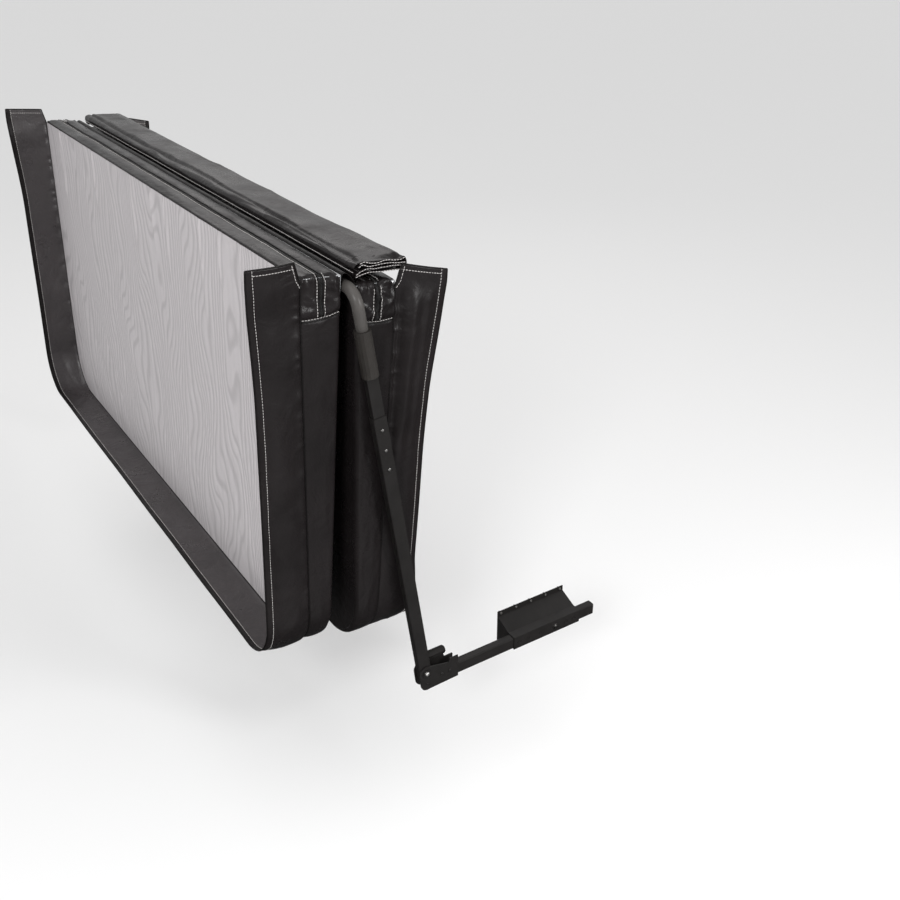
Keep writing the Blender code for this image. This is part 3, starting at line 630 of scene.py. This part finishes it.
def over_the_edge(half, t, lift, foot):
    """A line up the near end, along the hinge face and down the far end."""
    reach = LENGTH / 2
    down = np.linspace(0, 1, 16)
    near = end_points(half, -1, foot + (CORNER - foot) * down, t, lift)
    far = end_points(half, 1, CORNER + (foot - CORNER) * down, t, lift)
    run = np.linspace(-reach + CORNER, reach - CORNER, 340)
    middle = hinge_points(half, run, t + zip_wobble(half, run), lift)
    bend = np.array(quarter(4)[1:-1])
    radius = HINGE_RADIUS + lift
    v = reach - HINGE_RADIUS + radius * np.cos(bend)
    u = half.setback + HINGE_RADIUS - radius * np.sin(bend)
    w = TOP_GAP + t * THICK_HINGE
    return np.concatenate([near, half.place(w, -v, u), middle, half.place(w, v, u)[::-1], far])


def path_normals(half, path):
    """Outward normals of the hinge-and-ends line."""
    y = path[:, 1] - MIDDLE_Y
    turn = np.clip((np.abs(y) - (LENGTH / 2 - CORNER)) / CORNER, 0, 1)
    normal = -half.direction(0.0, 0.0, 1.0)[None] * (1 - turn)[:, None]
    normal[:, 1] += np.sign(y) * turn
    return unit(normal)


def zipper(half):
    """The zipper's two tapes with welts, coil and stitching, from end to end."""
    wide = 0.006 / THICK_HINGE
    lines = []
    foot = pocket_seam(half, ZIP_T) - 0.003
    across = np.linspace(-wide, wide, 7)
    front = np.stack([over_the_edge(half, ZIP_T + a, 0.001 - 0.0008 * (abs(a) / wide) ** 3,
                                    foot) for a in across])
    normals = np.stack([path_normals(half, row) for row in front])
    grids = closed_sheet(front, normals, 0.0018)
    half.piece("_zipper_band", grids, TAPE, "zipper_tape", "_zipper")
    welts = []
    for side in (-1, 1):
        path = over_the_edge(half, ZIP_T + side * wide * 0.95, 0.0016, foot)
        welts.append(rope(path, path_normals(half, path), 0.0021))
        stitch = over_the_edge(half, ZIP_T + side * wide * 1.62, 0.0007, foot)
        y = stitch[:, 1] - MIDDLE_Y
        ends = [y * sign > LENGTH / 2 - 0.02 for sign in (-1, 1)]
        for keep in [slice(None)] if side > 0 else ends:
            lines.append((stitch[keep], path_normals(half, stitch[keep])))
    half.piece("_zipper_welts", welts, BINDING, "cover_vinyl")
    coil = over_the_edge(half, ZIP_T, 0.0016, foot)
    threads(half.name + "_zipper_coil", [(coil, path_normals(half, coil))], PLASTIC, half.body,
            "zipper_tape", **COIL)
    return lines


def end_seams(half):
    """Stitch lines across both ends, below the zipper's foot."""
    lines, welts = [], []
    for sign in (-1, 1):
        t = np.linspace(0.04, 0.965, 26)
        deep = pocket_seam(half, t)
        normal = np.array([0.0, float(sign), 0.0])
        lines.append((end_points(half, sign, deep, t, 0.0022), normal))
        welts.append(rope(end_points(half, sign, deep + 0.0045, t, 0.0012), normal, 0.002))
    half.piece("_pocket_welts", welts, BINDING, "cover_vinyl")
    return lines


# ---- liner
LINER_INSET = 0.0045


def liner(half):
    v0, u0 = inset_rows(half, LINER_INSET)
    fine = np.linspace(-1, 1, 560)
    across = v0[:, None] * fine
    depth = np.repeat(u0[:, None], len(fine), 1)
    deep = depth - half.setback
    flow = (across + 0.055 * cloud(across * 2.1, depth * 1.7, half.seed + 40, 2)
            + 0.02 * cloud(across * 6.5, depth * 3.4, half.seed + 46, 2)
            - 0.1 * deep * np.sign(across) * step(np.abs(across), 0.5, 1.0))
    grain = 0.5 + 0.5 * np.sin(flow * 2 * pi / 0.032)
    long_folds = ridge(flow * 9, depth * 0.8, half.seed + 41, 4.0)
    slant = ridge((across + 0.75 * depth) * 10, (depth - 0.3 * across) * 1.5, half.seed + 43,
                  5.0)
    patchy = noise2(across * 3.1, depth * 2.1, half.seed + 44)
    rim = rim_fade((v0[:, None] - np.abs(across)) * 40, deep * 40, (u0[-1] - depth) * 40)
    sway = 0.012 * cloud(depth * 5, across * 3, half.seed + 48, 2)
    reach = 0.2 + 0.3 * noise2(across * 4.1, 0 * depth, half.seed + 49)
    pulls = ridge((across + sway) * 7.3, 0.5 + 0 * depth, half.seed + 47, 14.0)
    pulls = pulls * (1 - step(deep, 0.3 * reach, reach))
    relief = (0.0008 * grain * (0.3 + 0.7 * patchy) - 0.002 * long_folds * patchy
              - 0.0022 * slant * step(deep, 0.3, 0.8) + 0.0068 * pulls
              + 0.003 * cloud(across * 2.5, depth * 2, half.seed + 45))
    front = half.place(half.liner_w(depth) + 0.0012 + relief * rim, across, depth)
    grids = closed_sheet(front, half.direction(1.0, 0.0, 0.0), 0.001)
    piece = half.piece("_liner_sheet", grids, LINER, "liner_cloth", "_liner")


# ---- skirt
SKIRT_THICKNESS = 0.0022
HEM_LINE = 0.872  # share of the drop at which the hem is stitched
HEM_COLUMN = 22  # of the skirt's grid, just past that line
FLAP_TURN = 0.012  # past the hinge corner, where a flap's bound edge ends and the seam begins


class SkirtPath:
    """The run of a skirt from its near flap round the free edge to its far flap."""

    def __init__(self, half):
        self.half = half
        reach = LENGTH / 2 + half.outset
        radius = FREE_RADIUS + half.outset
        start = half.setback - FLAP
        turn = half.setback + DEPTH - FREE_RADIUS
        near = [(-reach, u, -1.0, 0.0) for u in np.linspace(start, turn, 120)]
        near += [(-(reach - radius) - radius * cos(angle),
                  turn + radius * sin(angle), -cos(angle), sin(angle))
                 for angle in quarter(21)[1:-1]]
        along = [(v, turn + radius, 0.0, 1.0)
                 for v in np.linspace(-(reach - radius), reach - radius, 200)]
        far = [(-v, u, -nv, nu) for v, u, nv, nu in reversed(near)]
        self.columns = np.array(near + along + far).T
        steps = np.hypot(*np.diff(self.columns[:2]))
        self.run = np.concatenate([[0.0], np.cumsum(steps)])
        self.total = self.run[-1]

    def at(self, s):
        """Place along the cover, depth and outward normal at a run."""
        return [np.interp(s, self.run, values) for values in self.columns]


def skirt_surface(path, s, q, lift=0.0):
    """Outer face of a skirt. s is the run, q goes from the liner seam to the hem."""
    half = path.half
    s, q = np.broadcast_arrays(np.asarray(s, float), np.asarray(q, float))
    v, u, nv, nu = path.at(s)
    deep = u - half.setback
    ends = np.abs(nv)
    near = (v < 0) * ends
    tip = 1 - step(deep, -0.04, 0.32)
    flare = 0.016 * tip * q * ends
    if not half.turned:
        flare = flare - 0.01 * q * step(deep, 0.15, 0.5) * (1 - step(deep, 0.75, 1.0)) * near
    inner = 0.016 * np.clip((0.012 - deep) / (FLAP + 0.012), 0, 1) * (1 - q)
    w = half.liner_w(u) - 0.0015 + q * (SKIRT_DROP + 0.0015) + flare + inner
    if half.turned:
        droop = 0.004 * near * q * (1 - step(deep, -0.04, 0.1))
    else:
        droop = (0.004 + 0.026 * q) * ends * (1 - step(deep, -0.04, 0.08))
    u = u + droop
    loose = 0.12 + 0.88 * step(deep, -0.005, 0.09)
    clear = (0.0042 if half.turned else -0.001) * (1 - step(deep, 0.0, 0.09)) * ends
    slack = near * (1.0 if half.turned else 1 - step(deep, 0.12, 0.3))
    wave = 0.006 * cloud(s * 2.3, q * 0.8, half.seed + 60, 2) * q * loose
    curl = 0.01 * q ** 2 * (0.5 + noise2(s * 1.3, 0 * s, half.seed + 61)) * (1 - ends) * -1
    spread = 0.012 * q ** 1.5 * tip * ends
    belly = (0.0035 + 0.0045 * slack) * np.sin(pi * q) * (
        1 + loose * (noise2(s * 4, q, half.seed + 62) - 0.5))
    crease = 0.0
    if not half.turned:
        upper = step(deep, -0.02, 0.05) * (1 - step(deep, 0.22, 0.62))
        bend = 0.1 * cloud(s * 3, 0.5, half.seed + 65, 2)
        crease = near * upper * (0.013 * bell(q - 0.34 - bend, 0.15)
                                 - 0.008 * bell(q - 0.12 - bend * 0.4, 0.06)
                                 + 0.005 * bell(q - 0.66 - bend, 0.1))
        lower = near * step(deep, 0.62, 0.82)
        crease = crease + lower * 0.009 * (creases(s * 6, q * 1.6, half.seed + 66) - 0.4) * q
    full = np.sin(pi * np.clip(q, 0, 1)) ** 0.5
    ripples = 0.0034 * (creases(s * 5.5, q * 1.3, half.seed + 63) - 0.35) * full
    soft = (0.0022 + 0.0016 * slack) * cloud(s * 11, q * 1.6, half.seed + 67) * full
    tucks = 0.005 * (ridge(s * 34, q * 1.1, half.seed + 64, 2.5) - 0.3) * bell(q - 0.08, 0.09)
    low = 0.35 if half.turned else 0.0
    tucks = tucks * ends * (1 - step(deep, 0.45 + low, 0.75 + low))
    hem = 0.001 * step(q, HEM_LINE, 0.88)
    push = (wave + curl + spread + belly + (crease + ripples + soft + tucks) * loose + clear
            + hem + lift) * step(q, -0.02, 0.05)
    push = push - half.outset * (1 - step(q, 0.0, 0.08)) * step(deep, 0.0, 0.06)
    return half.place(w, v + nv * push, u + nu * push)


def line_inside(piece, front, normals):
    """Gives the faces on the inner side of a skirt the grey backing."""
    piece.data.materials.append(SKIRT_BACK)
    inner = (front - normals * SKIRT_THICKNESS)[:, :-6].reshape(-1, 3)
    tree = KDTree(len(inner))
    for index, point in enumerate(inner):
        tree.insert(point, index)
    tree.balance()
    inside = [tree.find(vertex.co)[2] < 1e-5 for vertex in piece.data.vertices]
    for polygon in piece.data.polygons:
        if all(inside[k] for k in polygon.vertices):
            polygon.material_index = 1


def skirt(half):
    path = SkirtPath(half)
    s = np.concatenate([np.linspace(0, 0.3, 80)[:-1],
                        np.linspace(0.3, path.total - 0.3, 560)[:-1],
                        np.linspace(path.total - 0.3, path.total, 80)])
    q = np.concatenate([np.linspace(0, HEM_LINE, HEM_COLUMN), np.linspace(0.88, 1.0, 6)])
    q_start = 0.006
    front = skirt_surface(path, s[:, None], q_start + (1 - q_start) * q[None, :])
    normals = surface_normals(front)
    middle = len(s) // 2
    if normals[middle, 5] @ half.direction(0.0, 0.0, 1.0) < 0:
        normals = -normals
    grids = closed_sheet(front, normals, SKIRT_THICKNESS)
    piece = half.piece("_skirt_cloth", grids, SKIRT_VINYL, "skirt_vinyl", "_skirt")
    line_inside(piece, front, normals)
    binding = half.piece("_skirt_binding", skirt_edges(path, s), BINDING, "skirt_vinyl")
    seam_s = np.linspace(FLAP + FLAP_TURN, path.total - FLAP - FLAP_TURN, 520)
    seam = skirt_surface(path, seam_s, 0.0, 0.0008)
    seam_out = unit(skirt_surface(path, seam_s, 0.0, 0.01) - seam)
    half.piece("_seam_welt", [rope(seam, seam_out, 0.0021)], BINDING, "cover_vinyl")
    stitch = half.stitching("_skirt_stitching", skirt_stitch_lines(path, s, normals))


def skirt_stitch_lines(path, s, normals):
    """Lines along the hem and round both flaps, on both faces where both are seen."""
    facing = normals[:, HEM_COLUMN]
    both = [(skirt_surface(path, s, HEM_LINE), facing)]
    for end, row in ((0.013, 0), (path.total - 0.013, -1)):
        span = np.linspace(0.05, HEM_LINE, 20)
        both.append((skirt_surface(path, np.full_like(span, end), span), normals[row, 10]))
    lines = []
    for line, facing in both:
        lines += [(line, facing), (line - facing * (SKIRT_THICKNESS + 0.0002), -facing)]
    for low, high, row in ((0.004, FLAP + 0.02, 4),
                           (path.total - FLAP - 0.02, path.total - 0.004, -5)):
        span = np.linspace(low, high, 16)
        inside = 1 - step(np.minimum(span, path.total - span), FLAP, FLAP + 0.02)
        line = skirt_surface(path, span, 0.03 + 0.045 * inside, 0.0006)
        lines.append((line, normals[row, 3]))
    return lines


def skirt_edges(path, s):
    """Round bindings along the hem, the flaps' ends and the flaps' upper edges."""
    inwards = -SKIRT_THICKNESS / 2
    out = unit(skirt_surface(path, s, 1.0, 0.01) - skirt_surface(path, s, 1.0, 0.0))
    edges = [rope(skirt_surface(path, s, 1.0, inwards), out, 0.0023)]
    turn = FLAP + FLAP_TURN
    for low, high, row in ((0.0, turn, 0), (path.total - turn, path.total, -1)):
        span = np.linspace(low, high, 14)
        edges.append(rope(skirt_surface(path, span, 0.0, inwards), out[row], 0.0019))
    for end, row in ((0.0, 0), (path.total, -1)):
        span = np.linspace(0.0, 1.0, 24)
        edge = skirt_surface(path, np.full_like(span, end), span, inwards)
        edges.append(rope(edge, out[row], 0.0021))
    return edges


# ---- between the halves
def hinge_cloth():
    """The cloth hinge that lies in the valley over the crossbar."""
    route = np.array([(-0.0163, 0.021), (-0.016, 0.01), (-0.012, 0.005), (-0.004, 0.0058),
                      (0.004, 0.012), (0.0104, 0.0196), (0.0152, 0.027), (0.0161, 0.0365),
                      (0.0161, 0.05)])
    run = np.linspace(0, len(route) - 1, 33)
    x, u = (smoothed(np.interp(run, np.arange(len(route)), route[:, k]), 3) for k in (0, 1))
    v = np.linspace(-LENGTH / 2 + 0.004, LENGTH / 2 - 0.004, 240)
    calm = np.sin(np.linspace(0, pi, len(x)))[None] ** 0.6
    sag = 0.0011 * cloud(v[:, None] * 9, run[None] * 0.12, 90) * calm
    front = TUB.place(np.broadcast_to(x, (len(v), len(x))), v[:, None], u[None] - sag)
    grids = closed_sheet(front, surface_normals(front), 0.001)
    piece = make("hinge_cloth", grids, BINDING, None, ("hinge_strip",))
    start = TUB.place(0.0155, 0.0, 0.027)
    end = TUB.place(-0.0135, 0.0, 0.0095)
    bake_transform(piece)


GUSSET_X = (0.015, 0.155)
GUSSET_Z = (-0.0165, 0.013)


def gusset_section(v, angle):
    """Outline of the padded gusset at a run v: local depth and height over the fold axis."""
    (low_x, high_x), (low_z, high_z) = GUSSET_X, GUSSET_Z
    middle_x, half_x = (low_x + high_x) / 2, (high_x - low_x) / 2
    middle_z, half_z = (low_z + high_z) / 2, (high_z - low_z) / 2
    ca, sa = np.cos(angle), np.sin(angle)
    x = np.sign(ca) * np.abs(ca) ** 0.34 * half_x + middle_x
    z = np.sign(sa) * np.abs(sa) ** 0.62 * half_z + middle_z
    top = step(z, middle_z, high_z)
    share = (x - low_x) / (high_x - low_x)
    run = v + LENGTH / 2
    line = 0.19 + 0.035 * cloud(v * 2.3, 0.5, 77, 2)
    crease = (-0.0075 * bell(share - line, 0.028) + 0.003 * bell(share - line - 0.09, 0.06)) * (
        0.35 + 0.9 * noise2(v * 3.1, 0.5, 78))
    slack = 0.0042 * cloud(v * 4.5, share * 2.4, 70)
    folds = 0.0046 * (creases(v * 3.4 + share, share * 4.2, 72) - 0.35)
    near = 1 - step(run, 0.02, 0.5)
    rounding = step(run, 0.0, 0.035)
    lifted = near * 0.0095 * step(share, 0.4, 0.85) * rounding
    widened = -0.0085 * (1 - rounding) ** 2 * step(share, 0.75, 1.0)
    gather = 1 - step(run, 0.0, 0.1)
    pleats = gather * 0.0045 * (creases(share * 7, run * 9, 79) - 0.5) * bell(share - 0.5, 0.45)
    dip = -0.0055 * (1 - rounding) * step(share, 0.3, 1.0)
    z = z + top * (crease + slack + folds + lifted + pleats + dip - 0.0015)
    return x + widened + 0.0018 * cloud(v * 6, z * 40, 71), z


# Edges of the gusset's end folds, top one first: (share of the width, height)
LIPS = (
    ((0.1, 0.0125), (0.18, 0.0165), (0.3, 0.011), (0.42, 0.009), (0.56, 0.0135),
     (0.72, 0.011), (0.88, 0.0095), (0.94, 0.011), (0.975, 0.015)),
    ((0.07, 0.004), (0.14, 0.012), (0.24, 0.0045), (0.36, 0.004), (0.5, 0.006),
     (0.66, 0.0065), (0.84, 0.0035), (0.985, 0.003)),
    ((0.03, -0.013), (0.12, -0.005), (0.24, -0.001), (0.38, -0.0035), (0.52, -0.003),
     (0.7, -0.0015), (0.88, -0.004), (0.985, -0.0045)),
    ((0.02, -0.018), (0.1, -0.014), (0.26, -0.0095), (0.45, -0.0115), (0.7, -0.012),
     (0.985, -0.014)),
)


def fold_edge(strips, sign, reach, x, z, jut):
    """Adds one rounded fold of cloth that runs back into the gusset. Gives its outer edge."""
    across = np.stack([-np.gradient(z), np.gradient(x)])
    across = 0.0017 * across / np.linalg.norm(across, axis=0)
    depth = np.linspace(0.0, 0.04, 8)
    back = sign * (reach + 0.0015 + jut[:, None] - depth[None])
    sag = 0.002 * np.sin(depth / 0.04 * pi)[None]
    grids = [TUB.place((x + way * across[0])[:, None] + 0 * back, back,
                       -((z + way * across[1])[:, None] - sag)) for way in (-1, 1)]
    nose = (grids[0][:, 0] + grids[1][:, 0]) / 2 + np.array([0.0, sign * 0.0016, 0.0])
    rim = np.stack([grids[0][:, 0], nose, grids[1][:, 0]])
    strips += [(grid, False) for grid in (*grids, rim)]
    return nose + np.array([0.0, sign * 0.0002, 0.0])


def squash_gusset(piece):
    """Gives a piece of the gusset its own copy of its mesh; the squash direction and centre it
    works out are not used.
    """
    tuple(-TUB.direction(0.0, 0.0, 1.0))
    tuple(TUB.place(0.08, 0.0, 0.0185))
    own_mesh(piece)


def gusset_pad(reach):
    """The padded body of the gusset, its end faces hollow."""
    v = np.concatenate([np.linspace(-reach, -reach + 0.2, 60)[:-1],
                        np.linspace(-reach + 0.2, reach, 260)])
    angle = np.linspace(0, 2 * pi, 97)[:-1]
    vv, aa = np.meshgrid(v, angle, indexing="ij")
    x, z = gusset_section(vv, aa)
    near = 1 - step(vv + reach, 0.0, 0.09)
    z = z + near * (0.01 * step(-z, -0.004, 0.01))
    body = TUB.place(x, vv, -z)
    grids = [(body, True)]
    for k, inward in ((0, 0.022), (-1, -0.012)):
        hub = TUB.place(x[k].mean(), v[k], -z[k].mean()).reshape(1, 3)
        rings = [body[k]]
        for share in (0.95, 0.84, 0.5):
            ring = hub + (body[k] - hub) * share
            rings.append(ring + np.array([0.0, inward * min(1.0, (1 - share) * 5), 0.0]))
        rings.append(np.repeat(hub + np.array([0.0, inward, 0.0]), len(angle), 0))
        grids.append((np.stack(rings), True))
    piece = make("gusset_pad", grids, VINYL, "tub_side_half", ("hinge_gusset",))
    squash_gusset(piece)


def gusset_line(run, degrees, out=0.0):
    """Points along the gusset at one angle of its section."""
    x, z = gusset_section(run, np.full_like(run, radians(degrees)))
    return TUB.place(x - out, run, -z)


def end_folds(sign, reach, strips, lines):
    """Adds the folds at one end of the gusset, and the stitching along their edges."""
    low_x, high_x = GUSSET_X
    for k, lip in enumerate(LIPS):
        knots = np.array(lip)
        share = np.linspace(knots[0, 0], knots[-1, 0], 60)
        level = np.interp(share, knots[:, 0], knots[:, 1])
        level = smoothed(level, 6) + 0.0007 * cloud(share * 16, k + 0.5, 88)
        if sign > 0:
            level = np.minimum(level * 0.7 - 0.002, 0.008 - 0.0045 * k)
        jut = 0.003 * cloud(share * 6, k * 1.7, 83) + (0.0015 if k % 2 else -0.0005)
        x = low_x + (high_x - low_x) * share - 0.003 * step(share, 0.7, 1.0)
        tip = fold_edge(strips, sign, reach, x, level, jut)
        lines.append((tip, (0.0, sign, 0.0)))
    turn = np.linspace(0, 1, 24)
    high = 0.015 if sign < 0 else 0.006
    x = 0.1475 + 0.006 * np.sin(pi * turn) ** 0.7
    tip = fold_edge(strips, sign, reach, x, high - (high + 0.014) * turn, 0.0008 + 0 * turn)
    if sign < 0:
        lines.append((tip[3:13], (0.0, sign, 0.0)))


def gusset():
    reach = LENGTH / 2 - 0.004
    gusset_pad(reach)
    run = np.linspace(-reach + 0.004, reach - 0.004, 260)
    lines = [(gusset_line(run, 193, 0.0006), (-1.0, 0.0, 0.25))]
    strips = [rope(gusset_line(run, 203), (-1.0, 0.0, 0.0), 0.0022)]
    for sign in (-1, 1):
        end_folds(sign, reach, strips, lines)
    folds = make("gusset_folds", strips, VINYL, "tub_side_half")
    squash_gusset(folds)
    stitch = threads("gusset_stitching", lines, THREAD, "tub_side_half", "liner_cloth", **STITCH)
    squash_gusset(stitch)


# ---- lifter
def paint(look, *names):
    for name in names:
        for side in ("near_", "far_"):
            repaint(side + name, look)


def repaint(name, look):
    thing = frame["nodes"][name]
    thing.data.materials.clear()
    thing.data.materials.append(look)
    for polygon in thing.data.polygons:
        polygon.material_index = 0


def soften(name, width):
    """Rounds a CAD node's sharp edges, near and far."""
    for side in ("near_", "far_"):
        bevel = frame["nodes"][side + name].modifiers.new("edges", "BEVEL")
        bevel.width = width
        bevel.segments = 2
        bevel.limit_method = "ANGLE"
        bevel.angle_limit = radians(40)


def outward_disc(profile, x, y, z, away, steps, stretch=1.0):
    """A grid turned from (radius, height) pairs, its axis along Y, away from the tub."""
    angle = round_steps(steps)
    radius, height = np.array(profile).T[:, :, None]
    return np.stack([radius * np.cos(angle) * stretch + x, height * away + y + 0 * angle,
                     radius * np.sin(angle) + z], -1), True


ARM_LEAN = 7.78  # degrees from upright, away from the tub
ARM_OUT = 0.075  # from the tub's side


def bent_tube(side, away):
    """Half of the crossbar with its bend and the leg that goes down into the sleeve."""
    start, arm, radius, reach = 1.002, 1.195, 0.04, 1.06
    lean = radians(ARM_LEAN)
    arm_y = MIDDLE_Y + away * (MIDDLE_Y + ARM_OUT)
    points = [(start, arm_y), (arm - radius - 0.01, arm_y)]
    points += [(arm - radius * (1 - sin(angle)), arm_y - away * radius * (1 - cos(angle)))
               for angle in quarter(16)]
    points += [(arm, arm_y - away * (radius + 0.01)), (arm, arm_y - away * reach)]
    up, y = np.array(points).T
    path = np.stack([PIVOT.x - up * sin(lean), y, PIVOT.z + up * cos(lean)], -1)
    flat = np.array([cos(lean), 0.0, sin(lean)])
    make(side + "_bent_tube", [rope(path, flat, 0.015, 28)], BEND_LOOK, "lift_frame",
         (side + "_crossbar_bend",))


WALL_SCREW_XS = (-0.115, -0.0575, 0.0, 0.0575, 0.115)
WALL_SCREW_Z = 0.046
SCREW_HEAD = ((0.0, 0.0012), (0.0016, 0.0012), (0.0018, 0.0026), (0.0034, 0.0023),
              (0.0046, 0.001), (0.0048, 0.0), (0.0026, 0.0), (0.0022, -0.012), (0.0, -0.014))
SLOTS = ((-0.106, 1.9), (-0.071, 1.0), (-0.026, 1.0), (0.074, 1.8), (0.106, 1.8))
SLOT_Z = -0.01
SLOT_RING = ((0.0, 0.0002), (0.003, 0.0002), (0.0034, 0.0009), (0.0046, 0.0009),
             (0.005, 0.0), (0.0, -0.001))
WASHER_RING = ((0.0042, 0.001), (0.01, 0.001), (0.0104, 0.0005), (0.0104, 0.0),
               (0.0042, 0.0), (0.0042, 0.001))


def bracket_details(side, wall_y, away):
    """Wall screws, the slots in the socket's front and the clamp bolt's washer."""
    head_y = wall_y + away * 0.0032
    heads = [outward_disc(SCREW_HEAD, x, head_y, WALL_SCREW_Z, away, 16) for x in WALL_SCREW_XS]
    make(side + "bracket_screws", heads, SCREW, "lifter_mounts")
    low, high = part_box(side + "mount_bracket")
    front = low[1] if away < 0 else high[1]
    slots = [outward_disc(SLOT_RING, x, front, SLOT_Z, away, 18, stretch)
             for x, stretch in SLOTS]
    make(side + "socket_slots", slots, RUBBER, "lifter_mounts")
    x, _, z = np.mean(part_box(side + "clamp_bolt"), axis=0)
    washer = outward_disc(WASHER_RING, x, front + away * 0.0002, z, away, 24)
    make(side + "clamp_washer", [washer], BLACKENED, "lifter_mounts")


def lifter():
    paint(POWDER, "mount_bracket", "rail_tube", "outer_pivot_plate", "inner_pivot_plate",
          "plate_bolt_front", "plate_bolt_back", "spacer_pin", "lower_arm", "upper_arm")
    paint(ZINC, "pivot_bolt", "pivot_nut")
    paint(DULL, "arm_screw_top", "arm_screw_middle", "arm_screw_bottom")
    paint(BLACKENED, "clamp_bolt", "pivot_washer")
    for side, away in (("near", -1), ("far", 1)):
        bent_tube(side, away)
    paint(RUBBER, "stop_bumper")
    paint(PLASTIC, "rail_end_cap", "pivot_bushing")
    paint(SLEEVE, "coupling_sleeve")
    repaint("crossbar_joiner", BEND_LOOK)
    for name in ("tub_side", "outer"):
        repaint(name + "_foam_core", FOAM)
        repaint(name + "_steel_channel", GALVANISED)
        repaint(name + "_zipper_slider", NICKEL)
    for name, width in (("mount_bracket", 0.0007), ("outer_pivot_plate", 0.0006),
                        ("inner_pivot_plate", 0.0006), ("coupling_sleeve", 0.0012),
                        ("rail_end_cap", 0.0008)):
        soften(name, width)
    bracket_details("near_", 0.0, -1)
    bracket_details("far_", 2 * MIDDLE_Y, 1)


# ---- stage
LENS_MM = 41.61
LENS_SHIFT = (-0.0022, -0.0021)
EYE = (-1.652, -2.077, 2.019)
YAW, PITCH, ROLL = 0.5798, 0.49595, -0.00329
CARD = Vector((0.13, -0.86, -0.48)).normalized()


def camera():
    lens = bpy.data.cameras.new("camera")
    lens.sensor_width = 36.0
    lens.lens = LENS_MM
    lens.shift_x, lens.shift_y = LENS_SHIFT
    lens.clip_end = 60
    eye = placed("camera", lens)
    ahead = Vector((sin(YAW) * cos(PITCH), cos(YAW) * cos(PITCH),
                    -sin(PITCH)))
    right = Vector((cos(YAW), -sin(YAW), 0))
    up = right.cross(ahead)
    right, up = (cos(ROLL) * right + sin(ROLL) * up,
                 -sin(ROLL) * right + cos(ROLL) * up)
    turn = Matrix((right, up, -ahead)).transposed()
    eye.matrix_world = Matrix.Translation(EYE) @ turn.to_4x4()
    bpy.context.scene.camera = eye


def light(name, kind, aim, power, colour=(1, 1, 1)):
    data = bpy.data.lights.new(name, kind)
    data.energy = power
    data.color = colour
    lamp = placed(name, data)
    lamp.rotation_euler = Vector(aim).to_track_quat("-Z", "Y").to_euler()
    return lamp


def area_light(name, place, target, size, power, colour=(1, 1, 1)):
    lamp = light(name, "AREA", Vector(target) - Vector(place), power, colour)
    lamp.location = place
    lamp.data.shape = "RECTANGLE"
    lamp.data.size, lamp.data.size_y = size


def surroundings():
    """A white studio that fades to dark under the horizon, with one soft card low in front."""
    world = bpy.data.worlds.new("studio")
    bpy.context.scene.world = world
    graph = Graph(world)
    sky = graph.tree.nodes["Background"]
    sky.inputs["Color"].default_value = (1, 1, 1, 1)
    direction = graph.add("TexCoord").outputs["Generated"]
    parts = graph.add("SeparateXYZ")
    graph.link(direction, parts.inputs["Vector"])
    toward = graph.add("VectorMath", {1: CARD}, operation="DOT_PRODUCT")
    graph.link(direction, toward.inputs[0])
    total = graph.add("Math")
    fade = graph.ranged(parts.outputs["Z"], -0.3, -0.04, 0.05, 0.6)
    card = graph.ranged(toward.outputs["Value"], 0.9, 0.985, 0.0, 0.6)
    graph.link(fade, total.inputs[0])
    graph.link(card, total.inputs[1])
    graph.link(total.outputs["Value"], sky.inputs["Strength"])


def stage():
    size = 30.0
    corners = np.array([[(x, y, FLOOR_Z) for x in (-size, size)] for y in (-size, size)])
    floor = make("floor", [(corners, False)], Look("floor", (0.84, 0.84, 0.84), 0.7).made,
                 None)
    floor.visible_glossy = False
    surroundings()
    area_light("key", (-3.2, -2.6, 3.0), (-0.5, 1.0, 0.8), (1.0, 1.0), 90)
    area_light("back", (1.9, 4.8, 3.4), (-0.6, 1.0, 1.2), (3.2, 1.8), 18, (1.0, 0.955, 0.945))
    area_light("front", (1.3, -3.4, 2.0), (-0.5, 0.0, 0.8), (0.6, 1.1), 96)
    light("soft_sun", "SUN", (0.25, 0.15, -1.0), 0.75).data.angle = radians(50)
    bpy.context.scene.view_settings.view_transform = "Standard"


# ---- build
for half in (TUB, OUTER):
    jacket(half)
    liner(half)
    half.stitching("_jacket_stitching", zipper(half) + end_seams(half))
    skirt(half)
hinge_cloth()
gusset()
lifter()
camera()
stage()
